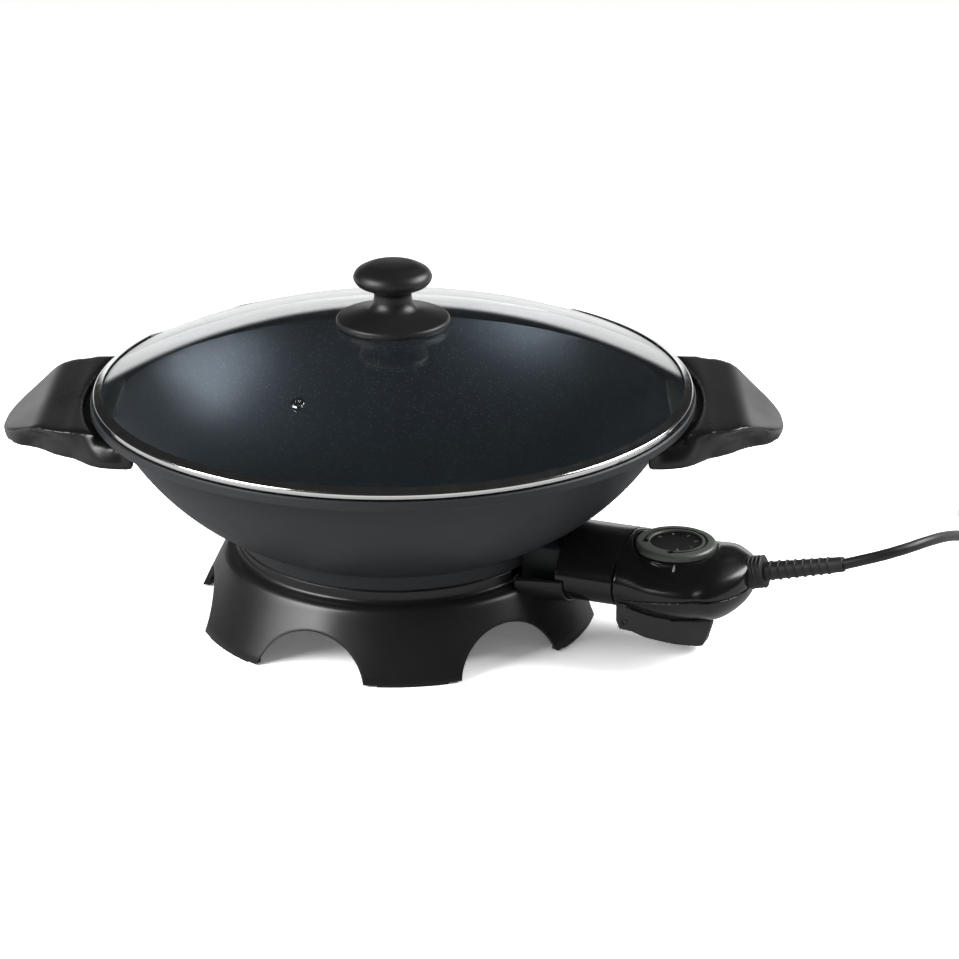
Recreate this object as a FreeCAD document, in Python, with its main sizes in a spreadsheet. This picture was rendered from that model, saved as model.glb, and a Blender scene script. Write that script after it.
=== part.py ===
"""Electric wok: cast pan on a moulded stand, glass lid and a plug-in heat control with its lead."""
import FreeCAD
import Part
import Sketcher  # noqa: F401  (registers the sketch object type)
import math
import os
import re

# Frame: origin on the table under the wok's axis, +X to the right along the handles, +Y away, +Z up.
# The control frame is the same frame turned about Z, so that its X runs outwards along the control.

Vector = FreeCAD.Vector
doc = FreeCAD.newDocument("ElectricWok")
sheet = doc.addObject("Spreadsheet::Sheet", "Sizes")

# Driving dimensions, in millimetres and degrees.
SIZES = {
    # pan
    "LipRadius": (182.5, "outer radius of the pan's lip"),
    "LipTop": (140.5, "height of the lip's top face"),
    "LipHeight": (5.5, "height of the lip's outer face"),
    "LipWidth": (4.5, "width of the lip's top face"),
    "LedgeRadius": (168.5, "inner edge of the ledge under the lip"),
    "LedgeDrop": (9.0, "depth of the ledge below the lip's top"),
    "ShoulderRadius": (170.2, "outer radius where the bowl meets the lip's flare"),
    "ShoulderDrop": (11.1, "depth of that shoulder below the lip's top"),
    "BowlOuterArc": (149.1, "radius of the bowl's outer curve"),
    "BowlInnerArc": (149.0, "radius of the bowl's inner curve"),
    "FloorRadius": (45.0, "flat floor inside the bowl"),
    "FloorTop": (54.5, "height of the cooking floor"),
    "FloorThickness": (4.0, "floor above the element"),
    "RingRadius": (96.4, "outer radius of the pan's foot ring"),
    "RingWidth": (4.0, "width of the foot ring"),
    "RingHeight": (9.1, "height of the foot ring's outer face"),
    # heating element
    "ElementRadius": (70.0, "radius of the element's ring"),
    "ElementSheath": (4.0, "radius of the element's sheath"),
    "ElementBend": (12.0, "bend radius where the legs leave the ring"),
    "ElementGap": (0.25, "gap between the element and its groove"),
    "ElementRib": (4.0, "wall of the rib each side of the element"),
    "PressGap": (0.1, "gap round a pressed-in or screwed-in piece"),
    "TerminalPitch": (26.0, "distance between the two terminal pins"),
    "PinRadius": (2.4, "radius of a terminal pin"),
    "PinReach": (20.0, "length of a pin beyond the socket's end wall"),
    # stand
    "StandTop": (49.2, "height of the stand's neck"),
    "StandFootRadius": (125.2, "radius of the stand on the table"),
    "StandShoulder": (41.2, "height of the shoulder below the neck"),
    "StandShoulderRadius": (106.3, "radius of the skirt under the shoulder"),
    "StandShoulderDrop": (3.0, "rounding below the shoulder"),
    "StandWall": (3.0, "wall of the stand"),
    "ShelfThickness": (3.5, "shelf that the pan is screwed to"),
    "ShelfInner": (76.0, "inner radius of the shelf"),
    "FootLedge": (8.0, "width of the flat under each foot"),
    "ArchCount": (6, "number of arches and of feet"),
    "ArchHalfWidth": (35.8, "half width of an arch at the table"),
    "ArchHeight": (26.0, "height of an arch"),
    "ArchAngle": (36.0, "direction of the first arch, from the front towards the right"),
    "PadThickness": (1.2, "rubber pad under each foot"),
    "PadAngle": (23.4, "angle that a pad covers"),
    "StandScrewCircle": (84.0, "radius of the three screws' circle"),
    "StandScrewRadius": (2.0, "radius of a stand screw's shank"),
    "StandScrewBoss": (5.0, "radius of the pan's screw bosses"),
    "ShieldRadius": (90.0, "radius of the heat shield"),
    "ShieldThickness": (0.8, "steel of the heat shield"),
    # socket for the control
    "ControlAngle": (21.0, "turn of the control towards the front"),
    "ControlHeight": (47.5, "height of the control's axis"),
    "BossStart": (88.0, "inner end of the terminal boss"),
    "BossHalfWidth": (26.0, "half width of the terminal boss"),
    "BossTop": (63.0, "top of the terminal boss"),
    "BossBottom": (40.0, "bottom of the terminal boss"),
    "SocketStart": (117.0, "inner end of the socket sleeve"),
    "SocketEnd": (152.0, "outer end of the socket sleeve"),
    "SocketHalfWidth": (36.0, "half width of the sleeve's oval"),
    "SocketHalfHeight": (21.3, "half height of the sleeve's oval"),
    "SocketWall": (3.0, "wall of the sleeve and its end wall"),
    "SocketScrewPitch": (43.0, "distance between the sleeve's two screws"),
    "SocketScrewRadius": (1.7, "radius of a sleeve screw's shank"),
    "SpoutStart": (94.0, "inner end of the stand's spout"),
    "SpoutEnd": (122.0, "outer end of the stand's spout"),
    "SpoutGap": (0.3, "gap between spout and sleeve"),
    "SocketBowlGap": (1.0, "gap between the sleeve and the bowl above it"),
    # control
    "SeamGap": (0.4, "gap between the sleeve and the control"),
    "ShellWall": (2.5, "wall of the control's shells"),
    "PartingHeight": (38.5, "height of the shells' parting plane at the seam"),
    "PartingTilt": (9.5, "rise of the parting plane towards the lead"),
    "NoseGap": (0.6, "gap between the connector nose and the sleeve"),
    "NoseStart": (123.0, "front face of the connector nose"),
    "NoseEnd": (160.0, "rear face of the connector nose"),
    "ContactWall": (1.25, "wall of a contact tube"),
    "ContactGap": (0.35, "gap between a pin and its contact tube"),
    "ProbeRadius": (3.15, "radius of the temperature probe"),
    "ProbeTip": (99.0, "tip of the probe, from the wok's axis"),
    "ProbeGap": (0.45, "gap round the probe in the pan"),
    "PostRadius": (3.8, "radius of the shells' screw posts"),
    "ShellScrewRadius": (1.5, "radius of a shell screw's shank"),
    # dial
    "DialPlace": (180.5, "dial's axis, from the wok's axis"),
    "DialRadius": (24.5, "outer radius of the dial"),
    "DialTop": (68.4, "height of the dial's top"),
    "DialSeat": (63.9, "height of the flat under the dial"),
    "DialGap": (0.3, "running gap under and round the dial"),
    "DialRim": (6.0, "width of the dial's ring"),
    "DialFaceDrop": (0.4, "step from the ring's top down to the face"),
    "ShaftRadius": (3.0, "radius of the dial's shaft"),
    # release lever
    "LeverMouth": (33.0, "half width of the lever where it meets the sleeve"),
    "LeverNose": (3.0, "half width of the lever at its nose"),
    "LeverEnd": (204.5, "nose of the lever, from the wok's axis"),
    "LeverStart": (154.0, "front edges of the lever"),
    "LeverWall": (2.6, "wall of the lever"),
    "LeverGap": (0.5, "gap between the lever and the control's shell, at every angle"),
    "LeverTravel": (6.0, "turn of the lever when it is pressed"),
    "PivotPlace": (158.5, "lever's pivot, from the wok's axis"),
    "PivotHeight": (24.0, "height of the lever's pivot"),
    "PivotPin": (1.5, "radius of the pivot pin"),
    "PivotGap": (0.08, "running gap round the pivot pin"),
    "PivotLength": (57.4, "length of the pivot pin"),
    "SpringPlace": (178.5, "return spring, from the wok's axis"),
    "SpringRadius": (3.0, "mean radius of the return spring"),
    "SpringWire": (0.45, "radius of the spring's wire"),
    "SpringLow": (14.2, "height of the spring's seat on the lever"),
    "SpringHigh": (22.2, "height of the spring's seat on the control"),
    # lead
    "TailTilt": (14.0, "rise of the lead where it leaves the control"),
    "TailPlace": (226.0, "start of the lead's axis, from the wok's axis"),
    "TailHeight": (54.6, "height of that start"),
    "CollarRadius": (10.0, "radius of the lead's collar"),
    "CollarLength": (10.8, "length of the collar outside the shells"),
    "BootRadius": (5.7, "radius of the lead's boot at the collar"),
    "BootTip": (4.5, "radius of the boot at its tip"),
    "BootLength": (58.7, "tip of the boot, from the start of the lead's axis"),
    "CordRadius": (3.25, "radius of the lead"),
    # handles
    "HandleReach": (236.4, "tip of a handle, from the wok's axis"),
    "HandleGap": (4.0, "gap between a handle and the pan's lip"),
    "HandleStart": (150.0, "start of a handle beside the pan, from the wok's axis"),
    "HandleHalfWidth": (80.0, "half width of a handle at its start"),
    "HandleSide": (126.0, "radius of a handle's side curve"),
    "HandleWaist": (208.0, "end of the side curve, from the wok's axis"),
    "HandleWaistHalf": (44.0, "half width of a handle there"),
    "HandleNose": (50.0, "radius of a handle's corner"),
    "HandleTipHalf": (6.0, "half width of the straight tip"),
    "HandleTop": (139.3, "height of a handle's ridge"),
    "HandleDepth": (21.3, "ridge to underside"),
    "LugReach": (203.0, "tip of the pan's handle lug"),
    "LugHalfWidth": (36.0, "half width of a lug"),
    "LugBottom": (127.0, "underside of a lug"),
    "LugThickness": (6.0, "thickness of a lug"),
    "LugGap": (0.3, "gap round a lug in its handle"),
    "HandleScrewPlace": (195.0, "handle screws, from the wok's axis"),
    "HandleScrewPitch": (48.0, "distance between a handle's two screws"),
    "HandleScrewRadius": (2.5, "radius of a handle screw's shank"),
    # lid
    "LidGap": (0.3, "gap between the lid's rim and the pan's lip"),
    "RimRadius": (181.0, "outer radius of the lid's steel rim"),
    "RimWidth": (5.0, "width of the rim"),
    "RimHeight": (4.4, "height of the rim's outer face"),
    "RimMetal": (0.5, "thickness of the rim's steel"),
    "GlassEdge": (178.4, "radius of the glass"),
    "GlassThickness": (3.2, "thickness of the glass"),
    "DomeArc": (426.4, "outer radius of the glass dome"),
    "GlassHole": (3.5, "radius of the hole for the knob's screw"),
    "VentDistance": (112.8, "steam vent, from the lid's axis"),
    "VentAngle": (27.3, "turn of the vent from the front towards the left"),
    "VentFlange": (4.2, "radius of the vent's flange"),
    "VentBore": (1.6, "radius of the vent's hole"),
    "KnobFlange": (34.3, "radius of the knob's flange"),
    "KnobFlangeEdge": (4.6, "height of the flange's edge"),
    "KnobFlangeRise": (9.5, "height of the flange at the stem"),
    "KnobStem": (10.0, "radius of the knob's stem"),
    "KnobCap": (23.7, "radius of the knob's cap"),
    "KnobCapBottom": (205.2, "height of the cap's underside"),
    "KnobTop": (220.2, "top of the knob"),
    "KnobScrewRadius": (2.5, "radius of the knob's screw"),
    # plug and coiled lead
    "CoilX": (420.0, "centre of the coiled lead"),
    "CoilY": (140.0, "centre of the coiled lead"),
    "CoilTurn": (39.6, "radius of the coil's outer turn"),
    "CoilLayers": (2, "turns side by side, and turns on each other"),
    "SpurLength": (26.0, "straight lead from a coil's tangent point to the coil's edge"),
    "TailLength": (20.0, "straight lead from the coil to the plug"),
    "PlugLength": (34.0, "length of the plug's body"),
    "PlugHalfWidth": (13.5, "half width of the plug's body"),
    "TieWidth": (7.0, "width of the band round the coil"),
    "TieThickness": (0.7, "thickness of that band"),
    "PlugRelief": (24.0, "length of the plug's strain relief"),
    "BladeLength": (17.5, "length of a plug blade"),
    "BladePitch": (12.7, "distance between the plug's blades"),
}

for row, (alias, (value, note)) in enumerate(SIZES.items(), start=1):
    sheet.set(f"A{row}", note)
    sheet.set(f"B{row}", str(value))
    sheet.setAlias(f"B{row}", alias)
doc.recompute()


# --- helpers -------------------------------------------------------------------------------------

def named(text):
    """Put the sheet's name before each alias in an expression."""
    return re.sub(r"[A-Z]\w+", lambda word: "Sizes." + word.group() if word.group() in SIZES else word.group(), text)


def size(text):
    """Value of an expression in the sheet's aliases."""
    return float(sheet.evalExpression(named(text)))


def bind(obj, **bindings):
    """Bind properties to expressions in the sheet's aliases."""
    for prop, text in bindings.items():
        obj.setExpression(prop.replace("__", "."), named(text))


def place(obj, at=("0", "0", "0"), rotation=FreeCAD.Rotation()):
    """Place an object at expressions in the sheet's aliases."""
    obj.Placement = FreeCAD.Placement(Vector(*map(size, at)), rotation)
    for axis, text in zip("xyz", at):
        if text != "0":
            obj.setExpression(f"Placement.Base.{axis}", named(text))


def primitive(kind, name, at=("0", "0", "0"), rotation=FreeCAD.Rotation(), **sizes):
    """A Part primitive whose sizes and place are expressions."""
    obj = doc.addObject("Part::" + kind, name)
    bind(obj, **sizes)
    place(obj, at, rotation)
    return obj


ALONG_X = FreeCAD.Rotation(Vector(0, 1, 0), 90)
ALONG_Y = FreeCAD.Rotation(Vector(1, 0, 0), -90)
FACING_X = FreeCAD.Rotation(Vector(1, 1, 1), 120)


def fuse(name, *shapes):
    obj = doc.addObject("Part::MultiFuse", name)
    obj.Shapes = list(shapes)
    return obj


def cut(name, base, *tools):
    """Cut the tools from the base, and check that they remove something."""
    obj = doc.addObject("Part::Cut", name)
    obj.Base = base
    obj.Tool = tools[0] if len(tools) == 1 else fuse(name + "Tools", *tools)
    doc.recompute()
    assert obj.Shape.Volume < base.Shape.Volume - 1e-3, f"{name} cuts nothing"
    return obj


def common(name, first, second):
    obj = doc.addObject("Part::Common", name)
    obj.Base = first
    obj.Tool = second
    return obj


def group(name, *members):
    """Separate solids that share one node."""
    obj = doc.addObject("Part::Compound", name)
    obj.Links = list(members)
    return obj


def turn_about_z(obj, angle):
    """Turn an object about the wok's axis; the angle is an expression."""
    obj.Placement = FreeCAD.Placement(Vector(), FreeCAD.Rotation(Vector(0, 0, -1), size(angle)))
    obj.setExpression("Placement.Rotation.Angle", named(angle))
    return obj


def sketch(body, name, role, points, lift="0"):
    """A closed outline on one of a body's origin planes.

    A point is (x, y) after a straight edge, or (x, y, radius) after an arc: the radius is positive
    where the arc's centre lies to the left of the way along the outline.
    """
    outline = body.newObject("Sketcher::SketchObject", name)
    plane = next(f for f in body.Origin.OriginFeatures if f.Role == role)
    outline.AttachmentSupport = [(plane, "")]
    outline.MapMode = "FlatFace"
    if lift != "0":
        outline.AttachmentOffset = FreeCAD.Placement(Vector(0, 0, size(lift)), FreeCAD.Rotation())
        outline.setExpression("AttachmentOffset.Base.z", named(lift))
    corners = [Vector(size(p[0]), size(p[1]), 0) for p in points]
    ends = []
    for index, point in enumerate(points):
        start, end = corners[index - 1], corners[index]
        if len(point) == 2:
            edge = outline.addGeometry(Part.LineSegment(start, end), False)
            ends.append((edge, 1, 2))
            continue
        radius = size(point[2])
        half = (end - start) * 0.5
        left = Vector(-half.y, half.x, 0).normalize() * math.copysign(1, radius)
        centre = start + half + left * math.sqrt(radius ** 2 - half.Length ** 2)
        first, last = (start, end) if radius > 0 else (end, start)
        angles = [math.atan2(p.y - centre.y, p.x - centre.x) for p in (first, last)]
        circle = Part.Circle(centre, Vector(0, 0, 1), abs(radius))
        edge = outline.addGeometry(Part.ArcOfCircle(circle, *angles), False)
        ends.append((edge, 1, 2) if radius > 0 else (edge, 2, 1))
        number = outline.addConstraint(Sketcher.Constraint("Radius", edge, abs(radius)))
        outline.setExpression(f"Constraints[{number}]", named(f"abs({point[2]})"))
    for index, point in enumerate(points):
        edge, _, end_vertex = ends[index]
        next_edge, next_vertex, _ = ends[(index + 1) % len(points)]
        outline.addConstraint(Sketcher.Constraint("Coincident", edge, end_vertex, next_edge, next_vertex))
        for kind, axis, value, text in (("DistanceX", -2, corners[index].x, point[0]),
                                        ("DistanceY", -1, corners[index].y, point[1])):
            if abs(value) < 1e-9:
                outline.addConstraint(Sketcher.Constraint("PointOnObject", edge, end_vertex, axis))
                continue
            number = outline.addConstraint(Sketcher.Constraint(kind, -1, 1, edge, end_vertex, value))
            outline.setExpression(f"Constraints[{number}]", named(text))
    return outline


def new_body(name):
    return doc.addObject("PartDesign::Body", name)


def revolve(body, outline, angle=360.0):
    feature = body.newObject("PartDesign::Revolution", outline.Name + "Turned")
    feature.Profile = outline
    feature.ReferenceAxis = (outline, ["V_Axis"])
    feature.Angle = angle
    return feature


def turned_piece(name, points):
    """A body made by turning one outline, in radius and height, about Z."""
    body = new_body(name)
    revolve(body, sketch(body, name + "Outline", "XZ_Plane", points))
    return body


def pad(body, outline, length, midplane=False):
    feature = body.newObject("PartDesign::Pad", outline.Name + "Pad")
    feature.Profile = outline
    feature.Midplane = midplane
    bind(feature, Length=length)
    return feature


def extruded_piece(name, role, points, length, midplane=False, lift="0"):
    """A body made by padding one outline."""
    body = new_body(name)
    pad(body, sketch(body, name + "Outline", role, points, lift), length, midplane)
    return body


def oval(name, place_x, half_width, half_height, height):
    """An oval section square to X."""
    return primitive("Ellipse", name, (place_x, "0", height), FACING_X,
                     MajorRadius=half_width, MinorRadius=half_height)


def loft(name, sections, ruled=False):
    obj = doc.addObject("Part::Loft", name)
    obj.Sections = sections
    obj.Solid = True
    obj.Ruled = ruled
    return obj


def oval_bar(name, start, end, half_width, half_height, height="ControlHeight"):
    """A straight bar of oval section along X."""
    return loft(name, [oval(name + "Start", start, half_width, half_height, height),
                       oval(name + "End", end, half_width, half_height, height)], ruled=True)


nodes = {}


def node(label, obj, frame="wok"):
    """Name a finished piece. A piece of the control is turned into the control's direction."""
    if frame == "control":
        if not obj.Placement.isIdentity():
            obj = group(label.title().replace("_", "") + "Placed", obj)
        turn_about_z(obj, "ControlAngle")
    obj.Label = label
    nodes[label] = obj
    return obj


def feature_node(label, shape):
    """A piece whose shape is worked out in code."""
    obj = doc.addObject("Part::Feature", label.title().replace("_", ""))
    obj.Shape = shape
    return node(label, obj)


# --- pan -----------------------------------------------------------------------------------------

def make_pan():
    bottom = "ControlHeight"
    groove = "(ElementSheath + ElementGap)"
    rib_in = f"ElementRadius - {groove} - ElementRib"
    rib_out = f"ElementRadius + {groove} + ElementRib"
    under = "FloorTop - FloorThickness"
    ring_in = "RingRadius - RingWidth"
    shell = turned_piece("PanShell", [
        ("0", under),
        (rib_in, under),
        (rib_in, bottom),
        (f"ElementRadius - {groove}", bottom),
        ("ElementRadius", f"{bottom} + {groove}", f"-{groove}"),
        (f"ElementRadius + {groove}", bottom, f"-{groove}"),
        (rib_out, bottom),
        (rib_out, f"{under} + 2"),
        (ring_in, f"{under} + 7.5"),
        (ring_in, "StandTop"),
        ("RingRadius - 0.8", "StandTop"),
        ("RingRadius", "StandTop + 0.8"),
        ("RingRadius + 0.6", "StandTop + RingHeight"),
        ("ShoulderRadius", "LipTop - ShoulderDrop", "BowlOuterArc"),
        ("LipRadius - 1", "LipTop - LipHeight - 0.4"),
        ("LipRadius", "LipTop - LipHeight + 0.6"),
        ("LipRadius", "LipTop - 0.8"),
        ("LipRadius - 0.8", "LipTop"),
        ("LipRadius - LipWidth + 0.5", "LipTop"),
        ("LipRadius - LipWidth", "LipTop - 0.6"),
        ("LipRadius - LipWidth - 1", "LipTop - 4.2"),
        ("LedgeRadius + 0.8", "LipTop - LedgeDrop + 0.5"),
        ("LedgeRadius", "LipTop - LedgeDrop - 0.5"),
        ("FloorRadius", "FloorTop", "-BowlInnerArc"),
        ("0", "FloorTop"),
    ])
    boss_length = "SocketStart - BossStart"
    boss = primitive("Box", "TerminalBoss", ("BossStart", "-BossHalfWidth", "BossBottom"),
                     Length=boss_length, Width="2 * BossHalfWidth", Height="BossTop - BossBottom")
    boss_top = cut("TerminalBossTrimmed", boss, turned_piece("BowlRoom", [
        ("0", "FloorTop + 1"),
        ("RingRadius", "StandTop + RingHeight + 1"),
        ("ShoulderRadius", "LipTop - ShoulderDrop + 1", "BowlOuterArc"),
        ("0", "LipTop - ShoulderDrop + 1"),
    ]))
    boss_in_place = turn_about_z(boss_top, "ControlAngle")
    lugs = [primitive("Box", f"Lug{side}", (x, "-LugHalfWidth", "LugBottom"),
                      Length="LugReach - ShoulderRadius + 4", Width="2 * LugHalfWidth", Height="LugThickness")
            for side, x in (("Right", "ShoulderRadius - 4"), ("Left", "-LugReach"))]
    screw_bosses = [primitive("Cylinder", f"ScrewBoss{number}", stand_screw_place(number) + ("StandShoulder",),
                              Radius="StandScrewBoss", Height="FloorTop + 1 - StandShoulder")
                    for number in range(3)]
    solid = fuse("PanCasting", shell, boss_in_place, *lugs, *screw_bosses)
    screw_holes = [primitive("Cylinder", f"ScrewHole{number}", stand_screw_place(number) + ("StandShoulder - 1",),
                             Radius="StandScrewRadius + PressGap", Height="12")
                   for number in range(3)]
    lug_holes = [primitive("Cylinder", f"LugHole{index}", at + ("LugBottom - 1",),
                           Radius="HandleScrewRadius + PressGap", Height="LugThickness + 2")
                 for index, at in enumerate(handle_screw_places())]
    legs = [primitive("Cylinder", f"LegBore{side}", ("ElementRadius", y, "ControlHeight"), ALONG_X,
                      Radius=groove, Height="SocketStart - ElementRadius + 1")
            for side, y in (("Left", "TerminalPitch / 2"), ("Right", "-TerminalPitch / 2"))]
    probe = primitive("Cylinder", "ProbeBore", ("ProbeTip - 3", "0", "ControlHeight"), ALONG_X,
                      Radius="ProbeRadius + ProbeGap", Height="SocketStart - ProbeTip + 4")
    bends = primitive("Box", "BendRoom", ("ElementRadius - 10", "-TerminalPitch / 2 - ElementBend - 6", "BossBottom"),
                      Length="ElementBend + 18", Width="TerminalPitch + 2 * ElementBend + 12",
                      Height=f"ControlHeight + {groove} - BossBottom")
    sleeve_holes = [primitive("Cylinder", f"SleeveHole{side}", ("SocketStart - 14", y, "ControlHeight"), ALONG_X,
                              Radius="SocketScrewRadius + PressGap", Height="15")
                    for side, y in (("Left", "SocketScrewPitch / 2"), ("Right", "-SocketScrewPitch / 2"))]
    bores = turn_about_z(fuse("TerminalBores", *legs, probe, bends, *sleeve_holes), "ControlAngle")
    return node("pan", cut("Pan", solid, bores, *screw_holes, *lug_holes))


def stand_screw_place(number):
    """The three stand screws stand 60 degrees and more away from the control."""
    angle = f"({60 + 120 * number} - ControlAngle)"
    return (f"StandScrewCircle * cos({angle})", f"StandScrewCircle * sin({angle})")


def handle_screw_places():
    return [(f"{x}HandleScrewPlace", f"{y}HandleScrewPitch / 2") for x in ("", "-") for y in ("", "-")]


# --- heating element ------------------------------------------------------------------------------

def make_element():
    """A sheathed ring whose two legs bend outwards into the terminal boss, as one swept tube."""
    ring, bend, half = size("ElementRadius"), size("ElementBend"), size("TerminalPitch / 2")
    height, end = size("ControlHeight"), size("SocketStart")
    side = half + bend
    centre_x = math.sqrt((ring + bend) ** 2 - side ** 2)
    tangent = Vector(centre_x, side, 0) * (ring / (ring + bend))

    def at(x, y):
        return Vector(x, y, height)

    def bend_middle(sign):
        direction = (Vector(centre_x, side - bend, 0) + tangent) * 0.5 - Vector(centre_x, side, 0)
        middle = Vector(centre_x, side, 0) + direction.normalize() * bend
        return at(middle.x, sign * middle.y)

    edges = [
        Part.LineSegment(at(end, half), at(centre_x, half)),
        Part.Arc(at(centre_x, half), bend_middle(1), at(tangent.x, tangent.y)),
        Part.Arc(at(tangent.x, tangent.y), at(-ring, 0), at(tangent.x, -tangent.y)),
        Part.Arc(at(tangent.x, -tangent.y), bend_middle(-1), at(centre_x, -half)),
        Part.LineSegment(at(centre_x, -half), at(end, -half)),
    ]
    element = doc.addObject("Part::Feature", "HeatingElement")
    element.Shape = swept_tube([edge.toShape() for edge in edges], size("ElementSheath"))
    node("heating_element", element, "control")
    pins = [primitive("Cylinder", f"Pin{side}", ("SocketStart", y, "ControlHeight"), ALONG_X,
                      Radius="PinRadius", Height="SocketWall + PinReach")
            for side, y in (("Left", "TerminalPitch / 2"), ("Right", "-TerminalPitch / 2"))]
    node("terminal_pins", group("TerminalPins", *pins), "control")


def swept_tube(edges, radius):
    """A round tube along edges that run on smoothly."""
    wire = Part.Wire(edges)
    start = wire.OrderedVertexes[0].Point
    first = wire.OrderedEdges[0]
    along = first.tangentAt(first.FirstParameter)
    if first.valueAt(first.FirstParameter).distanceToPoint(start) > 1e-6:
        along = first.tangentAt(first.LastParameter) * -1
    profile = Part.Wire([Part.Circle(start, along, radius).toShape()])
    return wire.makePipeShell([profile], True, True)


# --- stand ---------------------------------------------------------------------------------------

def stand_profile():
    """Half section of the skirt: neck, concave shoulder, straight flare, foot and the shelf inside."""
    slope = "((StandFootRadius - StandShoulderRadius) / (StandShoulder - StandShoulderDrop))"
    foot_out = f"StandFootRadius - {slope} * PadThickness"
    wall_foot = f"StandFootRadius - {slope} * (PadThickness + StandWall) - StandWall * 1.1"
    shelf_low = "StandShoulder - ShelfThickness"
    return [
        (f"{foot_out} - FootLedge", "PadThickness"),
        (foot_out, "PadThickness"),
        ("StandShoulderRadius", "StandShoulder - StandShoulderDrop"),
        ("StandShoulderRadius - 4", "StandShoulder", "5.5"),
        ("RingRadius + 3", "StandShoulder"),
        ("RingRadius", "StandShoulder + 3", "-3"),
        ("RingRadius", "StandTop - 0.8"),
        ("RingRadius - 0.8", "StandTop"),
        ("RingRadius - StandWall", "StandTop"),
        ("RingRadius - StandWall", "StandShoulder"),
        ("ShelfInner", "StandShoulder"),
        ("ShelfInner", shelf_low),
        ("StandShoulderRadius - StandWall * 1.1", shelf_low),
        (wall_foot, "PadThickness + StandWall"),
        (f"{foot_out} - FootLedge", "PadThickness + StandWall"),
    ]


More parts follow.
